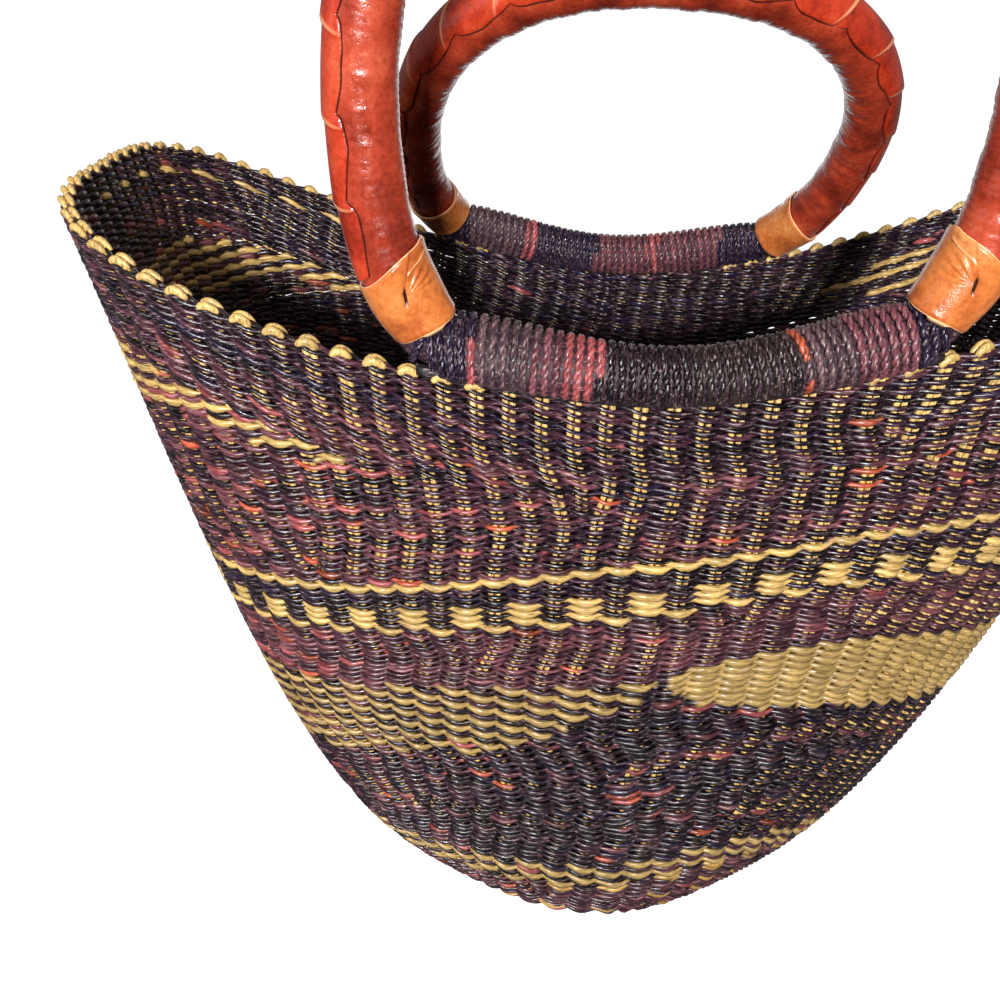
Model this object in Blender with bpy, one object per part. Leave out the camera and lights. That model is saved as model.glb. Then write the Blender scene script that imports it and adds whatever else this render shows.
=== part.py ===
"""Bolga market basket: a twined straw shopper with two leather-covered handles.

A round flat base carries a flaring woven wall whose mouth is long, narrow and
raised at both ends. In the middle of each long side a cord-wound straw roll
lies on the rim, and a leather-covered arch swings on the roll's rounded ends.

Units are metres. +Z is up, X runs along the mouth, and the basket stands on
Z = 0 with the centre of its base at the origin. The front is towards -Y.
The back handle is the front one turned half round about Z.
"""
import math

import bmesh
import bpy
import numpy as np
from mathutils import Matrix, Vector

# Mouth and height of the woven body, at the middle of the wall's thickness
MOUTH_LENGTH = 0.458
MOUTH_WIDTH = 0.224
SIDE_HEIGHT = 0.288
LEFT_END_RISE = 0.059
RIGHT_END_RISE = 0.077
CORNER_WARP = 0.010
MOUTH_EXPONENT = 3.6
RISE_EXPONENT = 1.7

# Base mat, wall and the stakes that rib it
BASE_DIAMETER = 0.139
BASE_THICKNESS = 0.005
BASE_EDGE_ROUND = 0.0012
WALL_THICKNESS = 0.005
STAKE_COUNT = 104
STAKE_RIB_HEIGHT = 0.0011
RIB_FADE_SHARE = 0.25
FLOOR_RUN_SHARE = 0.494
FLARE_RUN_SHARE = 0.794
FLARE_HEIGHT_SHARE = 0.675

# Stake ends folded over the rim at the two raised ends of the mouth
STAKE_END_HEIGHT = 0.0032
STAKE_END_HEIGHT_SHARES = (0.35, 1.0, 0.85)
STAKE_END_OUTLINE_SHARES = ((-1.0, 0.0), (1.0, 0.0), (1.0, 0.6), (0.0, 1.0), (-1.0, 0.6))
STRAW_PAIR_WIDTH = 0.0040
STAKE_END_CLEARANCE = 0.0115

# Rolls on the rim and the cord wound on them
ROLL_SPAN = 0.1692
ROLL_DIAMETER = 0.0200
ROLL_DIP = 0.0125
ROLL_INSET = 0.0065
ROLL_COLLAR_LENGTH = 0.010
CORD_THICKNESS = 0.0031
CORD_WIDTH = 0.0047
CORD_TURNS = 24

# Handle arches: straw core, leather cover, laced seam and tan cuffs
ARCH_HALF_WIDTH = 0.1017
ARCH_UPPER_HEIGHT = 0.1077
ARCH_EXPONENT = 2.28
HANDLE_CORE_DIAMETER = 0.0186
LEATHER_THICKNESS = 0.0014
CUFF_LEATHER_THICKNESS = 0.0014
CUFF_MOUTH_OFFSET = 0.0047
CUFF_LENGTH = 0.030
LEATHER_UNDER_CUFF = 0.019
LACING_TAB_LENGTH = 0.025
LACING_BASE_THICKNESS = 0.0008
LACING_TIP_THICKNESS = 0.0019
LACING_STEP_LENGTH = 0.0010
LACING_HALF_WIDTH = 0.0085
LACING_PLACE_SHARES = (0.28, 0.64)
LACING_LIFT_SHARES = (1.0, 0.8, 0.4, 0.0)
LACING_WIDTH_SHARES = (0.35, 0.8, 1.0, 0.62)
LACING_EDGE_SHARES = (0.5, 1.0, 0.5)

# How far each handle leans in from upright as the basket stands
FRONT_LEAN = math.radians(-7.0)
BACK_LEAN = math.radians(50.0)

# Clearances between neighbours
SEAT_GAP = 0.0003
SWING_GAP = 0.0005

# Faces round and along each shape
WALL_ROWS = 9
WALL_ROW_EXPONENT = 1.15
WALL_INNER_COLUMNS = 52
BASE_SEGMENTS = 52
ROLL_SEGMENTS = 18
ROLL_SIDES = 10
BALL_RINGS = 3
BALL_TIP_ANGLE = math.radians(12.0)
CORD_POINTS_PER_TURN = 9
CORD_SIDES = 5
ARCH_SEGMENTS = 20
ARCH_SIDES = 10
FINE_STEPS = 720

# Colours in linear light, with roughness
STRAW_PURPLE = (0.045, 0.026, 0.040)
STRAW_NATURAL = (0.62, 0.47, 0.20)
CORD_MAUVE = (0.095, 0.060, 0.080)
BUNDLE_STRAW = (0.42, 0.31, 0.15)
LEATHER_RUST = (0.40, 0.085, 0.030)
LACING_RED = (0.48, 0.085, 0.026)
CUFF_TAN = (0.62, 0.23, 0.055)


def make_material(name, colour, roughness):
    """Return a Principled material of one colour and roughness."""
    material = bpy.data.materials.new(name)
    material.use_nodes = True
    shader = material.node_tree.nodes["Principled BSDF"]
    shader.inputs["Base Color"].default_value = (*colour, 1.0)
    shader.inputs["Roughness"].default_value = roughness
    shader.inputs["Metallic"].default_value = 0.0
    material.diffuse_color = (*colour, 1.0)
    return material


def make_object(name, points, faces, material, parent=None, smooth_angle=math.radians(40.0)):
    """Make one named object from points and faces, with every face turned outwards."""
    mesh = bpy.data.meshes.new(name)
    mesh.from_pydata([tuple(point) for point in points], [], faces)
    shell = bmesh.new()
    shell.from_mesh(mesh)
    bmesh.ops.recalc_face_normals(shell, faces=shell.faces)
    shell.to_mesh(mesh)
    shell.free()
    return place_mesh(name, mesh, material, parent, smooth_angle)


def place_mesh(name, mesh, material, parent=None, smooth_angle=math.radians(40.0)):
    """Give a mesh its object, material, shading and parent."""
    if not mesh.materials:
        mesh.materials.append(material)
    mesh.shade_smooth()
    mesh.set_sharp_from_angle(angle=smooth_angle)
    part = bpy.data.objects.new(name, mesh)
    bpy.context.scene.collection.objects.link(part)
    part.parent = parent
    return part


def signed_power(values, exponent):
    """Raise the size of each value to a power and keep its sign."""
    return np.sign(values) * np.abs(values) ** exponent


def unit(vectors):
    """Scale each row vector to length one."""
    return vectors / np.linalg.norm(vectors, axis=-1, keepdims=True)


def along(points, distances):
    """Points at given distances along an open line of points."""
    steps = np.linalg.norm(np.diff(points, axis=0), axis=1)
    length = np.concatenate([[0.0], np.cumsum(steps)])
    return np.stack([np.interp(distances, length, points[:, axis]) for axis in range(3)], axis=1)


def line_length(points):
    """Length of an open line of points."""
    return float(np.linalg.norm(np.diff(points, axis=0), axis=1).sum())


# The woven body

def rim_points(angles):
    """Points of the mouth's edge: a long rounded outline that rises at both ends."""
    half_length = MOUTH_LENGTH / 2
    half_width = MOUTH_WIDTH / 2
    x = half_length * signed_power(np.cos(angles), 2 / MOUTH_EXPONENT)
    y = half_width * signed_power(np.sin(angles), 2 / MOUTH_EXPONENT)
    return np.stack([x, y, rim_height(x, y)], axis=1)


def rim_height(x, y):
    """Height of the mouth's edge: low at the rolls, higher at the ends and most at the right one."""
    along_mouth = x / (MOUTH_LENGTH / 2)
    across_mouth = y / (MOUTH_WIDTH / 2)
    end_rise = np.where(along_mouth > 0, RIGHT_END_RISE, LEFT_END_RISE)
    return SIDE_HEIGHT + end_rise * np.abs(along_mouth) ** RISE_EXPONENT - CORNER_WARP * along_mouth * across_mouth


def even_rim_angles(count):
    """Angles that space their points evenly along the mouth's edge, in plan."""
    fine = np.linspace(0, 2 * math.pi, FINE_STEPS * 4 + 1)
    plan = rim_points(fine)[:, :2]
    length = np.concatenate([[0.0], np.cumsum(np.linalg.norm(np.diff(plan, axis=0), axis=1))])
    return np.interp(np.arange(count) * length[-1] / count, length, fine)


def wall_middle(angles, shares):
    """Middle surface of the wall: one upright Bezier curve for each angle."""
    rim = rim_points(angles)
    outward = unit(rim[:, :2])
    start = np.column_stack([outward * (BASE_DIAMETER / 2), np.full(len(angles), WALL_THICKNESS / 2)])
    run = np.column_stack([rim[:, :2] - start[:, :2], np.zeros(len(angles))])
    floor_handle = start + run * FLOOR_RUN_SHARE
    flare_handle = start + run * FLARE_RUN_SHARE
    flare_handle[:, 2] += (rim[:, 2] - start[:, 2]) * FLARE_HEIGHT_SHARE
    s = np.asarray(shares)[:, None, None]
    return ((1 - s) ** 3 * start + 3 * (1 - s) ** 2 * s * floor_handle
            + 3 * (1 - s) * s ** 2 * flare_handle + s ** 3 * rim)


def wall_normals(angles, shares):
    """Outward normals of the wall's middle surface, as arrays like wall_middle's."""
    step = 1 / FINE_STEPS
    shares = np.asarray(shares)
    low = np.clip(shares - step, 0, 1)
    high = np.clip(shares + step, 0, 1)
    upward = wall_middle(angles, high) - wall_middle(angles, low)
    sideways = wall_middle(angles + step, shares) - wall_middle(angles - step, shares)
    return unit(np.cross(sideways, upward))


def build_wall(material):
    """Woven wall: a shell with one rib for each stake outside and a smooth face inside."""
    columns = STAKE_COUNT * 2
    shares = np.linspace(0, 1, WALL_ROWS + 1) ** WALL_ROW_EXPONENT
    outer_angles = even_rim_angles(columns)
    crest = np.where(np.arange(columns) % 2 == 0, STAKE_RIB_HEIGHT, 0.0)
    ribbing = np.sin(np.clip(shares / RIB_FADE_SHARE, 0, 1) * math.pi / 2)[:, None] * crest[None, :]
    outer = wall_middle(outer_angles, shares)
    outer = outer + wall_normals(outer_angles, shares) * (WALL_THICKNESS / 2 + ribbing[:, :, None])
    inner_angles = even_rim_angles(WALL_INNER_COLUMNS)
    inner = wall_middle(inner_angles, shares)
    inner = inner - wall_normals(inner_angles, shares) * (WALL_THICKNESS / 2)
    points = np.concatenate([outer.reshape(-1, 3), inner.reshape(-1, 3)])
    first_inner = outer.shape[0] * columns
    faces = grid_faces(len(shares), columns, 0) + grid_faces(len(shares), WALL_INNER_COLUMNS, first_inner)
    for row in (0, WALL_ROWS):
        faces += edge_faces(row * columns, columns, first_inner + row * WALL_INNER_COLUMNS, WALL_INNER_COLUMNS)
    return make_object("woven_wall", points, faces, material)


def grid_faces(rows, columns, first):
    """Quads between rows of points that close round on themselves."""
    faces = []
    for row in range(rows - 1):
        for column in range(columns):
            beside = (column + 1) % columns
            low = first + row * columns
            high = low + columns
            faces.append((low + column, low + beside, high + beside, high + column))
    return faces


def edge_faces(first_fine, fine_count, first_coarse, coarse_count):
    """Triangles that join a ring of many points to a ring of fewer points."""
    faces = []
    ratio = fine_count // coarse_count
    for column in range(coarse_count):
        here = first_coarse + column
        beside = first_coarse + (column + 1) % coarse_count
        fine = [first_fine + (column * ratio + step) % fine_count for step in range(ratio + 1)]
        middle = ratio // 2
        faces += [(here, fine[step], fine[step + 1]) for step in range(middle)]
        faces.append((here, fine[middle], beside))
        faces += [(beside, fine[step], fine[step + 1]) for step in range(middle, ratio)]
    return faces


def build_base(material):
    """Round base mat, flat underneath, with its two edges rounded off."""
    shell = bmesh.new()
    radius = BASE_DIAMETER / 2 - SEAT_GAP
    centre = Matrix.Translation((0, 0, BASE_THICKNESS / 2))
    bmesh.ops.create_cone(shell, cap_ends=True, segments=BASE_SEGMENTS, radius1=radius, radius2=radius,
                          depth=BASE_THICKNESS, matrix=centre)
    top_edges = [edge for edge in shell.edges if all(vert.co.z > BASE_THICKNESS / 2 for vert in edge.verts)]
    bmesh.ops.bevel(shell, geom=top_edges, offset=BASE_EDGE_ROUND, segments=1, affect="EDGES")
    mesh = bpy.data.meshes.new("woven_base")
    shell.to_mesh(mesh)
    shell.free()
    return place_mesh("woven_base", mesh, material)


def build_stake_ends(name, side, material):
    """Straw pairs of one end of the mouth, folded over the rim and tucked each beside the next."""
    rings_per_stake = len(STAKE_END_HEIGHT_SHARES)
    stakes = even_rim_angles(STAKE_COUNT)
    angles = even_rim_angles(STAKE_COUNT * rings_per_stake)
    first_x = ROLL_SPAN / 2 + STAKE_END_CLEARANCE
    folded = np.flatnonzero(rim_points(stakes)[:, 0] * side > first_x)
    if side > 0:
        folded = np.concatenate([folded[folded > STAKE_COUNT / 2], folded[folded <= STAKE_COUNT / 2]])
    places = (folded[:, None] * rings_per_stake + np.arange(rings_per_stake)).reshape(-1)
    heights = np.tile(STAKE_END_HEIGHT_SHARES, len(folded)) * STAKE_END_HEIGHT
    centres = rim_points(angles[places])
    outward = wall_normals(angles[places], [1.0])[0]
    step = 1 / FINE_STEPS
    lengthways = unit(rim_points(angles[places] + step) - rim_points(angles[places] - step))
    upward = np.cross(lengthways, outward)
    upward *= np.sign(upward[:, 2:3])
    seat = centres + upward * (SEAT_GAP * 2)
    half_width = STRAW_PAIR_WIDTH / 2
    rings = np.stack([seat + outward * (half_width * across) + upward * (heights * tall)[:, None]
                      for across, tall in STAKE_END_OUTLINE_SHARES], axis=1)
    faces = tube_faces(len(rings), len(STAKE_END_OUTLINE_SHARES))
    return make_object(name, rings.reshape(-1, 3), faces, material)


# Rings and tubes

def oval_ring(centre, first_axis, second_axis, first_radius, second_radius, sides):
    """Points of an oval about a centre, in the plane of two axes."""
    turn = np.arange(sides) * 2 * math.pi / sides
    return (np.asarray(centre) + np.outer(np.cos(turn), first_axis) * first_radius
            + np.outer(np.sin(turn), second_axis) * second_radius)


def tube_faces(rings, sides, first=0):
    """Quads of a tube, with a flat cap at both ends."""
    faces = grid_faces(rings, sides, first)
    last = first + (rings - 1) * sides
    faces.append(tuple(range(first, first + sides)))
    faces.append(tuple(range(last, last + sides)))
    return faces


def loop_faces(rings, sides):
    """Quads of a sleeve, whose last ring joins its first."""
    faces = grid_faces(rings, sides, 0)
    last = (rings - 1) * sides
    faces += [(last + side, last + (side + 1) % sides, (side + 1) % sides, side) for side in range(sides)]
    return faces


# Rolls on the rim

def roll_axis_y():
    """Distance of both rolls' axes from the middle of the mouth."""
    share = (ROLL_SPAN / 2) / (MOUTH_LENGTH / 2)
    wall_y = (MOUTH_WIDTH / 2) * (1 - share ** MOUTH_EXPONENT) ** (1 / MOUTH_EXPONENT)
    return wall_y - ROLL_INSET


def roll_frame(side):
    """Place of a roll's axis: middle of the span, X along it, Y into the basket, Z up; side is -1 in front."""
    ends = rim_height(np.array([-side, side]) * (-ROLL_SPAN / 2), side * roll_axis_y())
    tilt = math.atan2(ends[1] - ends[0], ROLL_SPAN)
    axis_z = SIDE_HEIGHT + ROLL_DIAMETER / 2 + SEAT_GAP + ROLL_DIP
    turn = Matrix.Rotation(0.0 if side < 0 else math.pi, 4, "Z")
    return turn @ Matrix.Translation((0, -roll_axis_y(), axis_z)) @ Matrix.Rotation(-tilt, 4, "Y")


def roll_line(x):
    """Middle of the roll in its frame: it dips onto the rim and bows out with it."""
    bow = MOUTH_WIDTH / 2 - roll_axis_y()
    hang = (1 - np.clip((x / (ROLL_SPAN / 2)) ** 2, 0, 1)) ** 2
    return np.stack([x, -bow * hang, -ROLL_DIP * hang], axis=1)


def roll_core_mesh():
    """Straw bundle under the cord, with a thicker collar and a rounded end on each side."""
    ball = ROLL_DIAMETER / 2 - SEAT_GAP
    bare = ROLL_DIAMETER / 2 - CORD_THICKNESS - SEAT_GAP
    shoulder = ROLL_SPAN / 2 - ROLL_COLLAR_LENGTH
    curve = np.linspace(BALL_TIP_ANGLE, math.pi / 2, BALL_RINGS + 1)
    tips = ROLL_SPAN / 2 + ball * np.cos(curve)
    tip_radii = ball * np.sin(curve)
    middle = np.linspace(-shoulder, shoulder, ROLL_SEGMENTS + 1)
    x = np.concatenate([-tips, [-shoulder], middle, [shoulder], tips[::-1]])
    radii = np.concatenate([tip_radii, [ball], np.full(len(middle), bare), [ball], tip_radii[::-1]])
    centres = roll_line(x)
    tangent = unit(roll_line(x + SEAT_GAP) - roll_line(x - SEAT_GAP))
    across = unit(np.cross(tangent, [0, 1, 0]))
    rings = [oval_ring(centre, first, np.cross(line, first), radius, radius, ROLL_SIDES)
             for centre, first, line, radius in zip(centres, across, tangent, radii)]
    return np.concatenate(rings), tube_faces(len(rings), ROLL_SIDES)


def cord_line():
    """Middle of the wound cord: its turns, then a straight end against each collar."""
    wound_half = ROLL_SPAN / 2 - ROLL_COLLAR_LENGTH - SEAT_GAP - CORD_THICKNESS - CORD_WIDTH / 2
    count = CORD_TURNS * CORD_POINTS_PER_TURN + 1
    turn = np.linspace(0, CORD_TURNS * 2 * math.pi, count)
    x = np.linspace(-wound_half, wound_half, count)
    ease = 2 * math.pi / CORD_POINTS_PER_TURN
    reach = np.array([CORD_WIDTH / 2, CORD_WIDTH / 2 + CORD_THICKNESS])
    x = np.concatenate([-wound_half - reach[::-1], x, wound_half + reach])
    turn = np.concatenate([[turn[0] - ease] * 2, turn, [turn[-1] + ease] * 2])
    radius = ROLL_DIAMETER / 2 - CORD_THICKNESS / 2
    middle = roll_line(x)
    tangent = unit(roll_line(x + SEAT_GAP) - roll_line(x - SEAT_GAP))
    across = unit(np.cross(tangent, [0, 1, 0]))
    up = np.cross(tangent, across)
    radial = across * np.cos(turn)[:, None] + up * np.sin(turn)[:, None]
    return middle + radial * radius, radial


def roll_cord_mesh():
    """Cord wound round the roll in one piece, oval in section and flat against the straw."""
    centres, radial = cord_line()
    tangent = unit(np.gradient(centres, axis=0))
    tangent[:2] = unit(centres[1] - centres[0])
    tangent[-2:] = unit(centres[-1] - centres[-2])
    broad = unit(np.cross(tangent, radial))
    rings = [oval_ring(centre, out, side, CORD_THICKNESS / 2, CORD_WIDTH / 2, CORD_SIDES)
             for centre, out, side in zip(centres, radial, broad)]
    report_least_gap(centres)
    return np.concatenate(rings), tube_faces(len(rings), CORD_SIDES)


def report_least_gap(centres):
    """Print the least gap between one turn of the cord and the next."""
    half_turn = CORD_POINTS_PER_TURN // 2
    apart = np.linalg.norm(centres[:, None, :] - centres[None, :, :], axis=2)
    near = np.abs(np.subtract.outer(np.arange(len(centres)), np.arange(len(centres)))) <= half_turn
    gap = np.where(near, np.inf, apart).min() - CORD_WIDTH
    print(f"least gap between turns of the roll cord: {gap * 1000:.2f} mm")


# Handles

def arch_line():
    """Middle of the handle from its left foot over the crown to its right foot, in its plane."""
    foot = (ROLL_SPAN / 2) / ARCH_HALF_WIDTH
    drop = ARCH_UPPER_HEIGHT * (1 - foot ** ARCH_EXPONENT) ** (1 / ARCH_EXPONENT)
    start = math.asin((drop / ARCH_UPPER_HEIGHT) ** (ARCH_EXPONENT / 2))
    turn = np.linspace(math.pi + start, -start, FINE_STEPS)
    x = ARCH_HALF_WIDTH * signed_power(np.cos(turn), 2 / ARCH_EXPONENT)
    z = drop + ARCH_UPPER_HEIGHT * signed_power(np.sin(turn), 2 / ARCH_EXPONENT)
    return np.stack([x, np.zeros(FINE_STEPS), z], axis=1)


def arch_frames(distances):
    """Centre, tangent and outward side of the arch at distances from its left foot."""
    line = arch_line()
    step = ROLL_DIAMETER / ARCH_SIDES
    centres = along(line, distances)
    tangent = unit(along(line, distances + step) - along(line, distances - step))
    outward = np.cross(tangent, [0, 1, 0])
    return centres, tangent, outward


def piece_starts():
    """Distances from a foot at which the cuff, the core and the leather start and the cuff ends."""
    cuff_end = CUFF_MOUTH_OFFSET + CUFF_LENGTH
    return CUFF_MOUTH_OFFSET, ROLL_DIAMETER / 2 + SWING_GAP, cuff_end - LEATHER_UNDER_CUFF, cuff_end


def arch_stations(start, end):
    """Distances of the rings between two ends: every piece of the arch has its rings there."""
    length = line_length(arch_line())
    mouth, core_start, leather_start, cuff_end = piece_starts()
    lower = np.array([mouth, core_start, leather_start, (leather_start + cuff_end) / 2, cuff_end])
    middle = np.linspace(cuff_end, length - cuff_end, ARCH_SEGMENTS + 1)[1:-1]
    shared = np.concatenate([lower, middle, (length - lower)[::-1]])
    return shared[(shared > start - SEAT_GAP) & (shared < end + SEAT_GAP)]


def sleeve_mesh(start, end, inner_radius, thickness):
    """A sleeve round the arch between two distances from its left foot."""
    outer = arch_rings(arch_stations(start, end), inner_radius + thickness)
    inner = arch_rings(arch_stations(start, end), inner_radius)
    return np.concatenate(outer + inner[::-1]), loop_faces(len(outer) * 2, ARCH_SIDES)


def arch_rings(distances, radius):
    """Rings of one radius about the arch."""
    centres, _, outward = arch_frames(distances)
    depth = np.array([0, 1, 0])
    return [oval_ring(centre, out, depth, radius, radius, ARCH_SIDES) for centre, out in zip(centres, outward)]


def handle_core_mesh():
    """Straw bundle inside the leather, clear of the roll's rounded ends."""
    start = piece_starts()[1]
    stations = arch_stations(start, line_length(arch_line()) - start)
    rings = arch_rings(stations, HANDLE_CORE_DIAMETER / 2)
    return np.concatenate(rings), tube_faces(len(rings), ARCH_SIDES)


def leather_radius():
    """Outer radius of the handle's leather."""
    return HANDLE_CORE_DIAMETER / 2 + SEAT_GAP + LEATHER_THICKNESS


def leather_mesh():
    """Leather cover of the arch, from inside one cuff to inside the other."""
    start = piece_starts()[2]
    end = line_length(arch_line()) - start
    return sleeve_mesh(start, end, HANDLE_CORE_DIAMETER / 2 + SEAT_GAP, LEATHER_THICKNESS)


def cuff_mesh(mirrored):
    """Tan leather cuff over the roll's rounded end and the leather's lower edge."""
    start, _, _, end = piece_starts()
    if mirrored:
        length = line_length(arch_line())
        start, end = length - end, length - start
    return sleeve_mesh(start, end, leather_radius() + SEAT_GAP, CUFF_LEATHER_THICKNESS)


def lacing_mesh():
    """Laced seam on the arch's outer side: tabs that widen, taper and lap over the next."""
    start = piece_starts()[3] + SEAT_GAP
    length = line_length(arch_line()) - 2 * start
    tabs = max(1, round(length / LACING_TAB_LENGTH))
    pitch = length / tabs
    rings = []
    for tab in range(tabs):
        tab_start = start + tab * pitch
        places = [tab_start + LACING_STEP_LENGTH]
        places += [tab_start + pitch * share for share in LACING_PLACE_SHARES]
        places += [tab_start + pitch]
        rings += [lacing_ring(place, lift, width)
                  for place, lift, width in zip(places, LACING_LIFT_SHARES, LACING_WIDTH_SHARES)]
    return np.concatenate(rings), tube_faces(len(rings), len(rings[0]))


def lacing_ring(distance, lift_share, width_share):
    """One section of the laced seam: a strip that hugs the leather."""
    centres, _, outward = arch_frames(np.array([distance]))
    seat = leather_radius() / math.cos(math.pi / ARCH_SIDES) + SEAT_GAP
    thickness = LACING_BASE_THICKNESS + (LACING_TIP_THICKNESS - LACING_BASE_THICKNESS) * lift_share
    half_turn = LACING_HALF_WIDTH * width_share / seat
    spread = np.linspace(-half_turn, half_turn, len(LACING_EDGE_SHARES))
    edge = thickness * np.array(LACING_EDGE_SHARES)
    below = [np.cos(angle) * seat * outward[0] + np.array([0, np.sin(angle) * seat, 0]) for angle in spread]
    above = [np.cos(angle) * (seat + rise) * outward[0] + np.array([0, np.sin(angle) * (seat + rise), 0])
             for angle, rise in zip(spread, edge)]
    return centres[0] + np.array(below + above[::-1])


# Assembly

def make_empty(name, matrix):
    """An empty on a joint's axis or a roll's axis, which carries its pieces."""
    empty = bpy.data.objects.new(name, None)
    empty.matrix_world = matrix
    empty.empty_display_size = ROLL_DIAMETER
    bpy.context.scene.collection.objects.link(empty)
    return empty


def build_side(side, lean, materials):
    """Roll and handle of one long side; the local meshes are the same on both sides."""
    frame = roll_frame(-1 if side == "front" else 1)
    roll = make_empty(f"{side}_roll_axis", frame)
    hinge = make_empty(f"{side}_handle_hinge", frame @ Matrix.Rotation(-lean, 4, "X"))
    near, far = ("left", "right") if side == "front" else ("right", "left")
    pieces = (
        ("roll_core", roll_core_mesh(), "bundle", roll),
        ("roll_cord", roll_cord_mesh(), "cord", roll),
        ("handle_core", handle_core_mesh(), "bundle", hinge),
        ("handle_leather", leather_mesh(), "leather", hinge),
        ("handle_lacing", lacing_mesh(), "lacing", hinge),
        (f"{near}_cuff", cuff_mesh(False), "cuff", hinge),
        (f"{far}_cuff", cuff_mesh(True), "cuff", hinge),
    )
    for name, (points, faces), slot, parent in pieces:
        make_object(f"{side}_{name}", points, faces, materials[slot], parent)
    axis = hinge.matrix_world.to_3x3() @ Vector((1, 0, 0))
    print(f"{side} hinge at {tuple(round(v, 6) for v in frame.translation)} axis {tuple(round(v, 6) for v in axis)}")


def main():
    """Build every piece of the basket."""
    for item in list(bpy.data.objects):
        bpy.data.objects.remove(item)
    materials = {
        "weave": make_material("purple_straw_weave", STRAW_PURPLE, 0.55),
        "stakes": make_material("natural_straw", STRAW_NATURAL, 0.5),
        "cord": make_material("mauve_straw_cord", CORD_MAUVE, 0.45),
        "bundle": make_material("straw_bundle", BUNDLE_STRAW, 0.7),
        "leather": make_material("rust_leather", LEATHER_RUST, 0.35),
        "lacing": make_material("red_laced_leather", LACING_RED, 0.4),
        "cuff": make_material("tan_cuff_leather", CUFF_TAN, 0.35),
    }
    build_base(materials["weave"])
    build_wall(materials["weave"])
    build_stake_ends("left_stake_ends", -1, materials["stakes"])
    build_stake_ends("right_stake_ends", 1, materials["stakes"])
    build_side("front", FRONT_LEAN, materials)
    build_side("back", BACK_LEAN, materials)


main()
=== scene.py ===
"""Looks of a bolga market basket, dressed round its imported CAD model.

The twined wall is made of its own strands, two to a course, that pass before and behind the
stakes. The rolls are wound with two-ply straw cord, and the handles are covered with leather
whose laced seam, cuffs and cut edges are pieces of their own. Everything is in metres, in the
row frame: X along the mouth, +Y from the front roll to the back roll, +Z up.
"""

import logging
import math
from dataclasses import dataclass, replace
from enum import Enum, IntEnum

import bpy
import numpy as np
from mathutils import Matrix, Vector

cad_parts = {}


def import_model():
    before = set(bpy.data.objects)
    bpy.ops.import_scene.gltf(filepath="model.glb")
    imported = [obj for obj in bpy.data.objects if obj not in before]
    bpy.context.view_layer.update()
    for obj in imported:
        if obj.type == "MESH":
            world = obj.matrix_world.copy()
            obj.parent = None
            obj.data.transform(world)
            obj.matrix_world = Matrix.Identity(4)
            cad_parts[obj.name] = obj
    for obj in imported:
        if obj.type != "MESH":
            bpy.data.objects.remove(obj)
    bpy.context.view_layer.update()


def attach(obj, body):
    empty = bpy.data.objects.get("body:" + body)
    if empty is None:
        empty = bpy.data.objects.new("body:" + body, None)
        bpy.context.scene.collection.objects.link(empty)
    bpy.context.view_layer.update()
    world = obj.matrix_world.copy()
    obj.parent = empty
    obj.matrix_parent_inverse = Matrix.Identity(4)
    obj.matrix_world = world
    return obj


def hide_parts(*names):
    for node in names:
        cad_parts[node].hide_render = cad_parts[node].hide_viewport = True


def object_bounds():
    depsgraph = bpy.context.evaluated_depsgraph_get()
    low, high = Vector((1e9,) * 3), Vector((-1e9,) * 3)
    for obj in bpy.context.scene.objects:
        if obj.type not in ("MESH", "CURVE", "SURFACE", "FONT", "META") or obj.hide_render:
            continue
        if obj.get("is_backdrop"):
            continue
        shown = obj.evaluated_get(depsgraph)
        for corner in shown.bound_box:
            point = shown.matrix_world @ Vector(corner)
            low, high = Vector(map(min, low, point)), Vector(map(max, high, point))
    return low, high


LOG = logging.getLogger("bolga_basket")
SHADE = "shade"
CUT_AND_SHADE = "cut_and_shade"
BAKE_MAP = "OFBake"
Array = np.ndarray
Socket = bpy.types.NodeSocket
TAU = 2 * math.pi
WHITE = (1.0, 1.0, 1.0)

# Margins in the bake map, as shares of its size
MAP_EDGE = 0.004
GRID_EDGE = 0.01
STRIP_GAP = 0.12
CAP_SHARE = 0.0015


class Seed(IntEnum):
    """Where each kind of chance starts."""
    STRAND = 5000
    DYE = 9000
    COURSE = 900
    FOLD = 300
    BASE = 700
    WINDING = 31
    PLY = 40
    GIRTH = 50
    FRONT_LEATHER = 60
    BACK_LEATHER = 80


# Sums on arrays

def signed_power(values: Array, exponent: float) -> Array:
    """Raise the size of each value to a power and keep its sign."""
    return np.sign(values) * np.abs(values) ** exponent


def unit(vectors: Array) -> Array:
    """Scale each vector to length one."""
    return vectors / np.maximum(np.linalg.norm(vectors, axis=-1, keepdims=True), 1e-12)


def smooth_step(values: Array) -> Array:
    """Ease from 0 to 1: three times the square less twice the cube."""
    held = np.clip(values, 0, 1)
    return held * held * (3 - 2 * held)


def bell(values: Array, middle: float | Array, width: float, power: int = 2) -> Array:
    """Hump of height 1: e to minus the distance from its middle over its width, raised to a power."""
    return np.exp(-((values - middle) / width) ** power)


def hump_mean(values: Array, size: int, mode: str) -> Array:
    """Mean of each value and its neighbours, weighted by a raised cosine.

    Args:
        values: Values along a line.
        size: How many values a mean takes in, an odd number.
        mode: How numpy's pad fills up the line's ends.

    Returns:
        As many means as values.
    """
    window = np.hanning(size)
    return np.convolve(np.pad(values, size // 2, mode=mode), window / window.sum(), "valid")


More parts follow.
